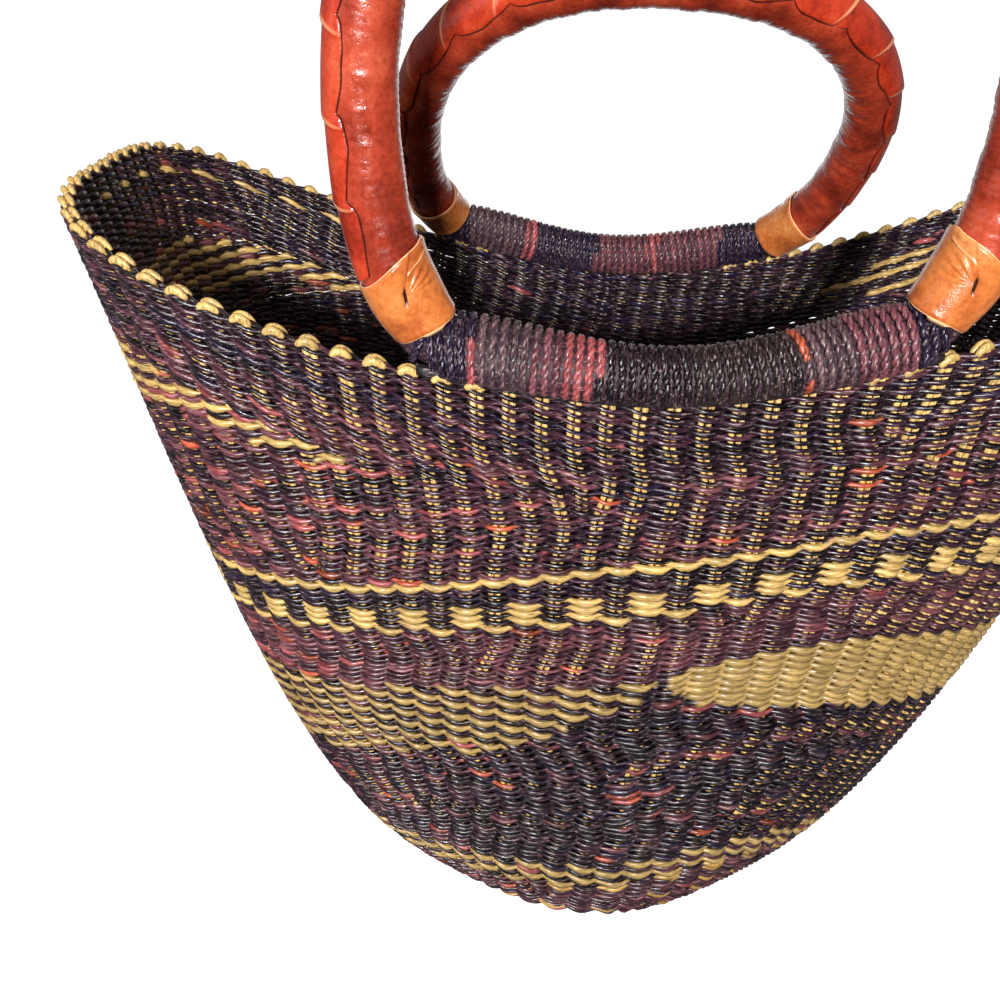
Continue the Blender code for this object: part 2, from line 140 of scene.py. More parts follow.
def ripple(seed: int, places: Array, wave: float, layers: int = 3) -> Array:
    """Smooth unevenness along a line: a few sines of unlike length, about -1 to 1.

    Args:
        seed: Chooses the sines' phases.
        places: Places along the line.
        wave: Length of the longest sine.
        layers: How many sines, each 1.9 times as short as the one before.

    Returns:
        One value for each place.
    """
    phases = np.random.default_rng(seed).random(layers) * TAU
    total = np.zeros_like(places, dtype=float)
    for layer in range(layers):
        total = total + np.sin(places * TAU / wave * 1.9 ** layer + phases[layer]) * 0.62 ** layer
    return total / 1.6


def linear(red: float, green: float, blue: float) -> tuple[float, float, float]:
    """Turn a screen colour into linear light, by the usual curve with its straight dark end.

    Args:
        red: Red, 0 to 255.
        green: Green, 0 to 255.
        blue: Blue, 0 to 255.

    Returns:
        Red, green and blue as linear light, 0 to 1.
    """
    values = np.array([red, green, blue]) / 255
    low = values / 12.92
    high = ((values + 0.055) / 1.055) ** 2.4
    return tuple(float(value) for value in np.where(values <= 0.04045, low, high))


# Meshes

@dataclass
class Rings:
    """Rings of many tubes, one tube after another.

    Args:
        centres: Middle of each ring.
        first: Half axis of each ring towards its first point.
        second: Half axis a quarter turn on.
        tube: Number of the tube that each ring belongs to, rising.
        shown: False where a tube has pinched out.
        shade: Colour of each ring, in linear light.
    """
    centres: Array
    first: Array
    second: Array
    tube: Array
    shown: Array
    shade: Array

    @staticmethod
    def one(centres: Array, first: Array, second: Array, shade: Array,
            shown: Array | None = None) -> "Rings":
        """Rings of a single tube. A half axis or a colour can be one for all its rings.

        Args:
            centres: Middle of each ring.
            first: Half axis of each ring towards its first point.
            second: Half axis a quarter turn on.
            shade: Colour of each ring.
            shown: False where the tube has pinched out. Left out, it is shown all along.

        Returns:
            The rings.
        """
        shown = np.ones(len(centres), bool) if shown is None else shown
        first, second, shade = (np.broadcast_to(value, centres.shape) for value in (first, second, shade))
        return Rings(centres, first, second, np.zeros(len(centres), int), shown, shade)

    @staticmethod
    def joined(parts: "list[Rings]") -> "Rings":
        """Put several sets of rings one after another, with the tubes numbered on.

        Args:
            parts: The sets.

        Returns:
            All their rings in one set.
        """
        tubes, first_tube = [], 0
        for part in parts:
            tubes.append(part.tube + first_tube)
            first_tube += int(part.tube.max()) + 1
        return Rings(
            np.concatenate([part.centres for part in parts]),
            np.concatenate([part.first for part in parts]),
            np.concatenate([part.second for part in parts]),
            np.concatenate(tubes),
            np.concatenate([part.shown for part in parts]),
            np.concatenate([part.shade for part in parts]),
        )


def corner_places(*corners: tuple[Array, Array]) -> Array:
    """Corners of faces in the bake map, face after face, from an across and an up for each corner."""
    return np.stack([np.stack(np.broadcast_arrays(*corner), axis=-1) for corner in corners],
                    axis=-2).reshape(-1, 2)


def tube_map(rings: Rings, sides: int, joins: Array, cap_rings: Array) -> Array:
    """Places in the bake map: every tube is a strip of its own, along the map's width.

    Args:
        rings: The tubes' rings.
        sides: Points round a ring.
        joins: Rings that faces join to the next ring.
        cap_rings: Ring of each triangle that closes a tube's end.

    Returns:
        A place for each corner of the joining faces and then of the triangles.
    """
    counts = np.bincount(rings.tube)
    order = np.arange(len(rings.tube)) - np.repeat(np.cumsum(counts) - counts, counts)
    across = MAP_EDGE + (1 - 2 * MAP_EDGE) * (order / np.repeat(np.maximum(counts - 1, 1), counts))
    base = (rings.tube + STRIP_GAP / 2) / len(counts)
    step = (1 - STRIP_GAP) / len(counts) / sides
    left, right = across[joins][:, None], across[joins + 1][:, None]
    low = base[joins][:, None] + step * np.arange(sides)
    high = low + step
    joining = corner_places((left, low), (left, high), (right, high), (right, low))
    cap_corner = np.array([[0.0, 0.0], [CAP_SHARE, 0.0], [0.0, 0.5 * step]])
    cap_start = np.stack([np.clip(across[cap_rings], 0.0, 1 - MAP_EDGE / 2), base[cap_rings]], axis=-1)
    return np.concatenate([joining, (cap_start[:, None, :] + cap_corner[None]).reshape(-1, 2)])


def tube_object(name: str, rings: Rings, sides: int) -> bpy.types.Object:
    """Make one object of tubes.

    A ring's point is its centre plus cosine times its first half axis plus sine times its
    second, and every tube ends in a flat fan, so it is closed.

    Args:
        name: Name of the piece.
        rings: The tubes' rings.
        sides: Points round a ring.

    Returns:
        The new object.
    """
    turn = np.arange(sides) * TAU / sides
    points = (rings.centres[:, None, :]
              + np.cos(turn)[None, :, None] * rings.first[:, None, :]
              + np.sin(turn)[None, :, None] * rings.second[:, None, :])
    joins = np.flatnonzero((rings.tube[:-1] == rings.tube[1:]) & (rings.shown[:-1] | rings.shown[1:]))
    side = np.arange(sides)
    beside = (side + 1) % sides
    low, high = joins[:, None] * sides, (joins[:, None] + 1) * sides
    quads = np.stack([low + side, low + beside, high + beside, high + side], axis=-1).reshape(-1, 4)
    counts = np.bincount(rings.tube)
    starts = np.concatenate([[0], np.cumsum(counts)[:-1]])
    ends = starts + counts - 1
    fan = np.arange(1, sides - 1)
    caps = []
    for rows, order in ((starts, (1, 0)), (ends, (0, 1))):
        first = rows[rings.shown[rows]][:, None] * sides
        corners = np.broadcast_arrays(first, first + fan + order[0], first + fan + order[1])
        caps.append(np.stack(corners, axis=-1).reshape(-1, 3))
    caps = np.concatenate(caps)
    return mesh_object(name, points.reshape(-1, 3), quads, caps, np.repeat(rings.shade, sides, axis=0),
                       tube_map(rings, sides, joins, caps[:, 0] // sides))


def enclosed(points: Array, faces: Array) -> float:
    """Add up what faces enclose, as the product of each fan triangle's three corners.

    Args:
        points: All points.
        faces: Point numbers of each face.

    Returns:
        Six times the volume, above zero where the faces look outwards.
    """
    if not len(faces):
        return 0.0
    first = points[faces[:, 0]]
    spokes = [points[faces[:, k]] - first for k in range(1, faces.shape[1])]
    return sum(np.einsum("ij,ij->", np.cross(one, two), first) for one, two in zip(spokes, spokes[1:]))


def mesh_object(name: str, points: Array, quads: Array, triangles: Array | None = None,
                shade: Array | None = None, bake_map: Array | None = None,
                cut_and_shade: Array | None = None) -> bpy.types.Object:
    """Put arrays of points and faces into a new smooth object, with its faces outwards.

    The faces are turned round if the volume that they enclose comes out negative.

    Args:
        name: Name of the piece.
        points: Its points.
        quads: Corners of its four-sided faces.
        triangles: Corners of its three-sided faces.
        shade: Colour of each point, in linear light.
        bake_map: Place of each face corner in the bake map.
        cut_and_shade: Amount of pale cut edge at each point above zero, and of painted shade below zero.

    Returns:
        The new object.
    """
    triangles = np.zeros((0, 3), int) if triangles is None else triangles
    corners = np.concatenate([quads.reshape(-1), triangles.reshape(-1)])
    if enclosed(points, quads) + enclosed(points, triangles) < 0:
        corners = np.concatenate([quads[:, ::-1].reshape(-1), triangles[:, ::-1].reshape(-1)])
        if bake_map is not None:
            first = bake_map[:quads.size].reshape(-1, 4, 2)[:, ::-1].reshape(-1, 2)
            last = bake_map[quads.size:].reshape(-1, 3, 2)[:, ::-1].reshape(-1, 2)
            bake_map = np.concatenate([first, last])
    mesh = bpy.data.meshes.new(name)
    mesh.vertices.add(len(points))
    mesh.vertices.foreach_set("co", points.astype(np.float32).ravel())
    mesh.loops.add(len(corners))
    mesh.loops.foreach_set("vertex_index", corners.astype(np.int32))
    mesh.polygons.add(len(quads) + len(triangles))
    starts = np.concatenate([np.arange(len(quads)) * 4, quads.size + np.arange(len(triangles)) * 3])
    mesh.polygons.foreach_set("loop_start", starts.astype(np.int32))
    mesh.update(calc_edges=True)
    if shade is not None:
        colours = np.column_stack([shade, np.ones(len(shade))]).astype(np.float32)
        mesh.attributes.new(SHADE, "FLOAT_COLOR", "POINT").data.foreach_set("color", colours.ravel())
    if cut_and_shade is not None:
        mesh.attributes.new(CUT_AND_SHADE, "FLOAT", "POINT").data.foreach_set("value", cut_and_shade.astype(np.float32).ravel())
    if bake_map is not None:
        mesh.uv_layers.new(name=BAKE_MAP).data.foreach_set("uv", bake_map.astype(np.float32).ravel())
    mesh.shade_smooth()
    item = bpy.data.objects.new(name, mesh)
    bpy.context.scene.collection.objects.link(item)
    return item


def grid_quads(rows: int, columns: int, loop_rows: bool, loop_columns: bool) -> Array:
    """Corners of the faces of a grid of points, row after row.

    Args:
        rows: Rows of points.
        columns: Points in a row.
        loop_rows: True where the last row joins the first.
        loop_columns: True where a row's last point joins its first.

    Returns:
        Four point numbers for each face.
    """
    row = np.arange(rows if loop_rows else rows - 1)[:, None]
    column = np.arange(columns if loop_columns else columns - 1)[None, :]
    above, beside = (row + 1) % rows, (column + 1) % columns
    return np.stack(np.broadcast_arrays(row * columns + column, row * columns + beside,
                                        above * columns + beside, above * columns + column),
                    axis=-1).reshape(-1, 4)


def grid_map(rows: int, columns: int, loop_rows: bool, loop_columns: bool) -> Array:
    """Place of each face corner of a grid in the bake map: rows across, columns up.

    Args:
        rows: Rows of points.
        columns: Points in a row.
        loop_rows: True where the last row joins the first.
        loop_columns: True where a row's last point joins its first.

    Returns:
        A place for each corner, in the order of grid_quads.
    """
    row_count = rows if loop_rows else rows - 1
    column_count = columns if loop_columns else columns - 1
    row = np.arange(row_count)[:, None]
    column = np.arange(column_count)[None, :]
    reach = 1 - 2 * GRID_EDGE
    left, right = GRID_EDGE + reach * row / row_count, GRID_EDGE + reach * (row + 1) / row_count
    low, high = GRID_EDGE + reach * column / column_count, GRID_EDGE + reach * (column + 1) / column_count
    return corner_places((left, low), (left, high), (right, high), (right, low))


# Finishes

class Straw(Enum):
    """Dyed and natural straws of the basket, in linear light."""
    NATURAL = linear(212, 178, 106)
    HONEY = linear(204, 162, 88)
    PLUM = linear(70, 37, 48)
    PURPLE = linear(48, 25, 40)
    MAUVE = linear(106, 60, 67)
    ROSE = linear(156, 76, 78)
    ORANGE = linear(178, 82, 54)
    INDIGO = linear(32, 22, 46)
    BLACK = linear(25, 14, 22)
    OLIVE = linear(38, 30, 28)
    GREY = linear(84, 62, 67)


class Nodes:
    """A material's node tree about one Principled shader."""

    # Sockets of the colour mix node: its factor, its two colours and its result
    FACTOR, LOWER, UPPER, RESULT = 0, 6, 7, 2

    def __init__(self, name: str) -> None:
        """Start a Principled material.

        Args:
            name: Name of the material.
        """
        self.material = bpy.data.materials.new(name)
        self.material.use_nodes = True
        self.tree = self.material.node_tree
        self.shader = self.tree.nodes["Principled BSDF"]

    def add(self, kind: str, **settings: object) -> bpy.types.Node:
        """Add a node and set its properties.

        Args:
            kind: Type of the node.
            settings: Its properties.

        Returns:
            The node.
        """
        node = self.tree.nodes.new(kind)
        for key, value in settings.items():
            setattr(node, key, value)
        return node

    def link(self, source: Socket, target: Socket) -> None:
        """Join two sockets."""
        self.tree.links.new(source, target)

    def place(self, scale: tuple[float, float, float] = WHITE) -> Socket:
        """Object coordinates, stretched by a scale on each axis.

        Args:
            scale: The stretch.

        Returns:
            The socket that gives them.
        """
        coordinates = self.add("ShaderNodeTexCoord")
        mapping = self.add("ShaderNodeMapping")
        mapping.inputs["Scale"].default_value = scale
        self.link(coordinates.outputs["Object"], mapping.inputs["Vector"])
        return mapping.outputs["Vector"]

    def noise(self, vector: Socket, scale: float, detail: float = 3.0,
              roughness: float = 0.55) -> Socket:
        """Fractal noise, as a value of 0 to 1.

        Args:
            vector: Where it is looked up.
            scale: How fine it is.
            detail: How many finer noises are added.
            roughness: How strong each is beside the one before.

        Returns:
            The socket that gives it.
        """
        node = self.add("ShaderNodeTexNoise")
        for socket, value in (("Scale", scale), ("Detail", detail), ("Roughness", roughness)):
            node.inputs[socket].default_value = value
        self.link(vector, node.inputs["Vector"])
        return node.outputs["Fac"]

    def ramp(self, factor: Socket, *stops: tuple[float, tuple[float, ...]]
             ) -> Socket:
        """Colours at stops along a value.

        Args:
            factor: The value.
            stops: Place and colour of each stop.

        Returns:
            The socket that gives the colour.
        """
        node = self.add("ShaderNodeValToRGB")
        elements = node.color_ramp.elements
        while len(elements) < len(stops):
            elements.new(0.5)
        for element, (place, colour) in zip(elements, stops):
            element.position = place
            element.color = (*colour, 1.0)
        self.link(factor, node.inputs["Fac"])
        return node.outputs["Color"]

    def span(self, factor: Socket, low: float, high: float, start: float = 0.0,
             end: float = 1.0) -> Socket:
        """Stretch a value from one span to another, held at its ends.

        Args:
            factor: The value.
            low: Result at the start.
            high: Result at the end.
            start: Value at which the stretch starts.
            end: Value at which it ends.

        Returns:
            The socket that gives the result.
        """
        node = self.add("ShaderNodeMapRange")
        for socket, value in zip(("From Min", "From Max", "To Min", "To Max"), (start, end, low, high)):
            node.inputs[socket].default_value = value
        self.link(factor, node.inputs["Value"])
        return node.outputs["Result"]

    def mix(self, first: Socket, second: Socket | tuple[float, ...],
            factor: Socket | float = 1.0, blend: str = "MULTIPLY") -> Socket:
        """Blend two colours.

        Args:
            first: The lower colour.
            second: The upper colour, as a socket or a fixed one.
            factor: Share of the upper colour, as a socket or a fixed one.
            blend: How the two are blended.

        Returns:
            The socket that gives the blend.
        """
        node = self.add("ShaderNodeMix", data_type="RGBA", blend_type=blend)
        self.link(first, node.inputs[self.LOWER])
        if isinstance(second, tuple):
            node.inputs[self.UPPER].default_value = (*second, 1.0)
        else:
            self.link(second, node.inputs[self.UPPER])
        if isinstance(factor, float):
            node.inputs[self.FACTOR].default_value = factor
        else:
            self.link(factor, node.inputs[self.FACTOR])
        return node.outputs[self.RESULT]

    def drive(self, name: str, source: Socket) -> None:
        """Feed one of the shader's sockets."""
        self.link(source, self.shader.inputs[name])

    def bump(self, *heights: tuple[Socket, float, float]) -> None:
        """Chain bumps into the shader's normal.

        Args:
            heights: Height, strength and depth in metres of each.
        """
        normal = None
        for height, strength, depth in heights:
            node = self.add("ShaderNodeBump")
            node.inputs["Strength"].default_value = strength
            node.inputs["Distance"].default_value = depth
            self.link(height, node.inputs["Height"])
            if normal is not None:
                self.link(normal, node.inputs["Normal"])
            normal = node.outputs["Normal"]
        self.drive("Normal", normal)


@dataclass(frozen=True)
class StrawFinish:
    """Dyed straw with fine fibres along it and painted pinkish-white highlight streaks: its colour is in the
    mesh.

    Args:
        name: Name of the material.
        fibre: Scale of the fibres on each axis, high across them and low along them.
        gloss: Least and greatest roughness.
        depth: Depth of the fibres, in metres.
        pale: Strength of the painted highlight: how far the palest fibres are lightened towards pinkish
            white.
    """
    name: str
    fibre: tuple[float, float, float]
    gloss: tuple[float, float] = (0.34, 0.6)
    depth: float = 0.00012
    pale: float = 0.7

    def build(self) -> bpy.types.Material:
        """Mix the mesh's colour, darker and paler along the fibres and in blots, then lay painted highlight
        streaks on the palest fibres.

        Returns:
            The material.
        """
        nodes = Nodes(self.name)
        colour = nodes.add("ShaderNodeAttribute", attribute_name=SHADE).outputs["Color"]
        fibres = nodes.noise(nodes.place(self.fibre), 1.0, 4.0, 0.6)
        blots = nodes.noise(nodes.place(), 160.0, 2.0)
        streak = nodes.ramp(fibres, (0.34, (0.45, 0.4, 0.42)), (0.5, WHITE), (0.66, (1.3, 1.26, 1.24)))
        patch = nodes.ramp(blots, (0.3, (0.78, 0.76, 0.8)), (0.7, (1.12, 1.1, 1.06)))
        colour = nodes.mix(nodes.mix(colour, streak), patch)
        # Painted highlight: the palest fibres are lightened towards pinkish white, standing in for glints of
        # light on the straw.
        pale = nodes.span(fibres, 0.0, self.pale, 0.57, 0.70)
        nodes.drive("Base Color", nodes.mix(colour, (0.54, 0.37, 0.37), pale, "LIGHTEN"))
        nodes.drive("Roughness", nodes.span(fibres, *self.gloss, 0.3, 0.7))
        nodes.shader.inputs["Specular IOR Level"].default_value = 0.5
        nodes.bump((fibres, 0.8, self.depth))
        return nodes.material


@dataclass(frozen=True)
class LeatherFinish:
    """Dyed leather with mottling, pores, fine creases, pale cut edges and painted shade in slits, beside laps
    and along the seam's edges.

    Args:
        name: Name of the material.
        deep: Darkest colour.
        body: Usual colour.
        worn: Palest colour, where the dye is rubbed.
        cut: Colour of a cut edge.
        painted_shade: Colour of the painted shade deep in a slit, beside a lapped edge and along a tab's
            edges.
        gloss: Least and greatest roughness.
        creases: Depth of the creases, in metres.
    """
    name: str
    deep: tuple[float, float, float]
    body: tuple[float, float, float]
    worn: tuple[float, float, float]
    cut: tuple[float, float, float]
    painted_shade: tuple[float, float, float] = linear(38, 10, 8)
    gloss: tuple[float, float] = (0.18, 0.38)
    creases: float = 0.00025

    def build(self) -> bpy.types.Material:
        """Mix the dye by its mottling, then darken its grain and pits and lay on pale cut edges and painted
        shade.

        Returns:
            The material.
        """
        nodes = Nodes(self.name)
        place = nodes.place()
        mottle = nodes.noise(place, 55.0, 4.0, 0.6)
        grain = nodes.noise(place, 520.0, 5.0, 0.65)
        pores = nodes.add("ShaderNodeTexVoronoi", feature="F1")
        pores.inputs["Scale"].default_value = 1150.0
        nodes.link(place, pores.inputs["Vector"])
        pits = nodes.span(pores.outputs["Distance"], 0.0, 1.0, 0.05, 0.42)
        dye = nodes.ramp(mottle, (0.34, self.deep), (0.5, self.body), (0.68, self.worn))
        fine = nodes.ramp(grain, (0.3, (0.74, 0.66, 0.64)), (0.5, WHITE), (0.72, (1.16, 1.22, 1.25)))
        pitted = nodes.ramp(pits, (0.0, (0.7, 0.62, 0.6)), (0.6, WHITE))
        colour = nodes.mix(nodes.mix(dye, fine), pitted, 0.5)
        # The mesh's cut-and-shade value: above zero, real pale cut edges; below zero, painted shade.
        cut_and_shade = nodes.add("ShaderNodeAttribute", attribute_name=CUT_AND_SHADE).outputs["Fac"]
        colour = nodes.mix(colour, self.cut, nodes.span(cut_and_shade, 0.0, 1.0, 0.25, 0.75), "MIX")
        # Painted shade: dark where the value is below zero, in slits, beside laps and along the tabs' edges.
        colour = nodes.mix(colour, self.painted_shade, nodes.span(cut_and_shade, 1.0, 0.0, -0.9, -0.2), "MIX")
        nodes.drive("Base Color", colour)
        nodes.drive("Roughness", nodes.span(grain, *self.gloss, 0.35, 0.65))
        nodes.shader.inputs["Specular IOR Level"].default_value = 0.5
        nodes.shader.inputs["Sheen Weight"].default_value = 0.12
        nodes.shader.inputs["Sheen Roughness"].default_value = 0.3
        nodes.shader.inputs["Sheen Tint"].default_value = (0.8, 0.66, 0.78, 1.0)
        nodes.bump((mottle, 0.35, self.creases * 4), (grain, 0.55, self.creases),
                   (pits, 0.35, self.creases / 2))
        return nodes.material


WEAVE_STRAW = StrawFinish("twined_straw", (240.0, 240.0, 2200.0), (0.20, 0.44))
STAKE_STRAW = StrawFinish("natural_stake_straw", (1400.0, 1400.0, 260.0), (0.3, 0.5))
CORD_STRAW = StrawFinish("wound_straw_cord", (2400.0, 420.0, 420.0), (0.22, 0.44))
BUNDLE_STRAW = StrawFinish("raw_straw_bundle", (220.0, 1500.0, 1500.0), (0.5, 0.75))
RUST_LEATHER = LeatherFinish("rust_leather", linear(116, 36, 22), linear(162, 55, 33),
                             linear(190, 80, 53), linear(206, 132, 84))
RED_LEATHER = LeatherFinish("red_seam_leather", linear(144, 38, 20), linear(184, 54, 28),
                            linear(202, 78, 46), linear(228, 152, 108))
TAN_LEATHER = LeatherFinish("tan_cuff_leather", linear(172, 86, 38), linear(206, 116, 55),
                            linear(224, 146, 86), linear(240, 190, 140))


# The woven form

@dataclass(frozen=True)
class BasketForm:
    """Middle surface of the woven wall, with the same measures as the CAD part."""
    mouth_length: float = 0.458
    mouth_width: float = 0.224
    side_height: float = 0.288
    left_end_rise: float = 0.059
    right_end_rise: float = 0.077
    corner_warp: float = 0.010
    mouth_exponent: float = 3.6
    rise_exponent: float = 1.7
    base_diameter: float = 0.139
    wall_thickness: float = 0.005
    floor_run: float = 0.494
    flare_run: float = 0.794
    flare_height: float = 0.675
    stake_count: int = 104

    def rim_height(self, x: Array, y: Array) -> Array:
        """Height of the mouth's edge, lowest at the rolls and highest at the right end.

        The rise is a power of the distance along the mouth, and the warp is the product of the
        distances along and across it.

        Args:
            x: Places along the mouth.
            y: Places across it.

        Returns:
            Heights.
        """
        along, across = x / (self.mouth_length / 2), y / (self.mouth_width / 2)
        rise = np.where(along > 0, self.right_end_rise, self.left_end_rise)
        warp = self.corner_warp * along * across
        return self.side_height + rise * np.abs(along) ** self.rise_exponent - warp

    def rim_points(self, angles: Array) -> Array:
        """Points of the mouth's edge: half axes times powered cosine and sine.

        Args:
            angles: Angles round the mouth.

        Returns:
            One point for each.
        """
        x = self.mouth_length / 2 * signed_power(np.cos(angles), 2 / self.mouth_exponent)
        y = self.mouth_width / 2 * signed_power(np.sin(angles), 2 / self.mouth_exponent)
        return np.stack([x, y, self.rim_height(x, y)], axis=1)

    def edge_width(self, x: Array) -> Array:
        """Distance of the mouth's edge from the middle line, at places along the mouth."""
        share = np.abs(x) / (self.mouth_length / 2)
        return self.mouth_width / 2 * (1 - share ** self.mouth_exponent) ** (1 / self.mouth_exponent)

    def even_rim_angles(self, count: int) -> Array:
        """Angles that space their points evenly along the mouth's edge, in plan.

        Args:
            count: How many.

        Returns:
            The angles, from +X on.
        """
        fine = np.linspace(0, TAU, 2881)
        plan = self.rim_points(fine)[:, :2]
        length = np.concatenate([[0.0], np.cumsum(np.linalg.norm(np.diff(plan, axis=0), axis=1))])
        return np.interp(np.arange(count) * length[-1] / count, length, fine)

    def middle(self, angles: Array, shares: Array) -> Array:
        """One upright Bezier curve for each angle, from the base's edge to the rim.

        Args:
            angles: Angles round the mouth.
            shares: Places along the curve, 0 to 1.

        Returns:
            Points, one row for each share.
        """
        rim = self.rim_points(angles)
        outward = unit(rim[:, :2])
        base_height = np.full(len(angles), self.wall_thickness / 2)
        start = np.column_stack([outward * (self.base_diameter / 2), base_height])
        run = np.column_stack([rim[:, :2] - start[:, :2], np.zeros(len(angles))])
        low, high = start + run * self.floor_run, start + run * self.flare_run
        high[:, 2] += (rim[:, 2] - start[:, 2]) * self.flare_height
        s = shares[:, None, None]
        return (1 - s) ** 3 * start + 3 * (1 - s) ** 2 * s * low + 3 * (1 - s) * s ** 2 * high + s ** 3 * rim


class WallMap:
    """Looks up a place on the wall by its turn, 0 to 1 round from +X, and its length up from the base."""

    def __init__(self, form: BasketForm, columns: int = 416, steps: int = 180, fineness: int = 600) -> None:
        """Measure the wall along each column and space its points evenly by length.

        Args:
            form: The wall's form.
            columns: Columns round the wall.
            steps: Points up each column.
            fineness: Points of each curve that is measured.
        """
        angles = form.even_rim_angles(columns)
        fine = form.middle(angles, np.linspace(0, 1, fineness))
        steps_up = np.linalg.norm(np.diff(fine, axis=0), axis=2)
        lengths = np.concatenate([np.zeros((1, columns)), np.cumsum(steps_up, axis=0)])
        self.reach = lengths[-1]
        wanted = np.linspace(0, 1, steps)
        self.points = np.stack([
            np.stack([np.interp(wanted * self.reach[column], lengths[:, column], fine[:, column, axis])
                      for axis in range(3)], axis=1)
            for column in range(columns)], axis=1)
        sideways = np.roll(self.points, -1, axis=1) - np.roll(self.points, 1, axis=1)
        upward = np.gradient(self.points, axis=0)
        self.outward = unit(np.cross(sideways, upward))
        self.columns, self.steps = columns, steps

    def reach_at(self, turn: Array) -> Array:
        """Length of the wall from base to rim at each turn."""
        return self.spread(self.reach, turn)

    def spread(self, values: Array, turn: Array) -> Array:
        """Mix values that are given for each column.

        Args:
            values: The columns' values.
            turn: Turns round the wall.

        Returns:
            The value at each turn, from the columns on its two sides.
        """
        place = (turn % 1.0) * self.columns
        column = np.floor(place).astype(int) % self.columns
        share = place - np.floor(place)
        return values[column] * (1 - share) + values[(column + 1) % self.columns] * share

    def place(self, turn: Array, length: Array) -> tuple[Array, Array, Array]:
        """Find places on the wall.

        Args:
            turn: Turns round the wall.
            length: Lengths up from the base.

        Returns:
            The points, the outward normals and the upward directions there.
        """
        across = (turn % 1.0) * self.columns
        column = np.floor(across).astype(int) % self.columns
        beside = (column + 1) % self.columns
        share = (across - np.floor(across))[:, None]
        up = length / self.reach_at(turn) * (self.steps - 1)
        row = np.clip(np.floor(up).astype(int), 0, self.steps - 2)
        rise = (up - row)[:, None]
        low = self.points[row, column] * (1 - share) + self.points[row, beside] * share
        high = self.points[row + 1, column] * (1 - share) + self.points[row + 1, beside] * share
        normal = self.outward[row, column] * (1 - share) + self.outward[row, beside] * share
        return low + (high - low) * rise, unit(normal), unit(high - low)


class Stakes:
    """Where the stakes stand at each level: more are let in as the wall widens."""

    LEVELS = ((-0.016, 0.024, 16), (0.056, 0.118, 12), (0.168, 0.188, 12))
    LAST_LEVELS = (0.228, 0.262)
    GOLDEN_SHARE = 0.618034
    GROWTH = 0.020
    LEAST_WEIGHT = 0.12

    def __init__(self, count: int) -> None:
        """Give every second stake the level at which it starts; the others stand all the way up.

        The stakes of each batch are scattered round the wall by the golden share.

        Args:
            count: Stakes at the rim.
        """
        self.count = count
        left = count // 2 - sum(batch[2] for batch in self.LEVELS)
        levels = np.concatenate([np.linspace(*batch) for batch in (*self.LEVELS, (*self.LAST_LEVELS, left))])
        self.start = np.full(count, -1.0)
        order = np.argsort((np.arange(count // 2) * self.GOLDEN_SHARE) % 1.0)
        self.start[order * 2 + 1] = levels

    def weights(self, level: float) -> Array:
        """Share of its full room that each stake takes at a level."""
        return smooth_step((level - self.start) / self.GROWTH)

    def turns(self, level: float) -> Array:
        """Turn of each stake: the room taken before it plus half its own, over all the room.

        Args:
            level: Height at which the wall is looked at.

        Returns:
            Turns of all the stakes.
        """
        weights = self.weights(level)
        middle = np.cumsum(weights) - weights / 2
        return middle / weights.sum() - 0.5 / self.count

    def standing(self, level: float) -> tuple[Array, Array]:
        """Stakes that the strands go round at a level, from the back's middle on.

        Args:
            level: Height at which the wall is looked at.

        Returns:
            Their numbers and their turns, which go on rising past a full turn.
        """
        weights, turns = self.weights(level), self.turns(level)
        numbers = np.roll(np.arange(self.count), -(self.count // 4))
        numbers = numbers[weights[numbers] > self.LEAST_WEIGHT]
        placed = turns[numbers]
        return numbers, np.where(placed < placed[0] - 1e-9, placed + 1.0, placed)


class Colouring(Enum):
    """How a course's two strands are coloured."""
    DARK = "dark"
    LINE = "line"
    BLOCK = "block"
    STRIPE = "stripe"
    CHECK = "check"


FOOT_LINE = ((52, 58, 61, 66, 71.8, 78, 83.6, 88, 91.9, 98, 104),
             (66, 60, 56.4, 44, 33.5, 32.0, 48, 57, 63.7, 70, 72))
BELLY_LINE = ((52, 58, 63.5, 70.8, 76.2, 78.1, 80.4, 84.4, 87.5, 91, 98, 104),
              (190, 185, 174, 164, 164, 166, 177, 191, 200, 207, 218, 224))
BAND_FALL = ((52, 58, 63.9, 67.9, 72.6, 76.9, 81, 85.5, 91, 98, 104),
             (150, 145, 116, 99, 80, 67, 65, 69, 88, 112, 122))


@dataclass
class Course:
    """One course of twining.

    Args:
        number: Its number from the base.
        level: Its height where the wall is lowest, which sets the stakes that it goes round.
        length: Length up from the base at each of the map's columns.
        pitch: Room that it has there.
        present: Share of it that is there, 0 where a short course has ended.
        colouring: How it is coloured.
        below_rim: How far it lies under the rim at each column.
        depth: How many courses it lies under the top of its zone.
        row: How many courses it lies over the bottom of its zone.
        zone: Number of its zone.
        shift: Stakes by which its strands change over.
    """
    number: int
    level: float
    length: Array
    pitch: Array
    present: Array
    colouring: Colouring
    below_rim: Array
    depth: int
    row: int
    zone: int
    shift: int


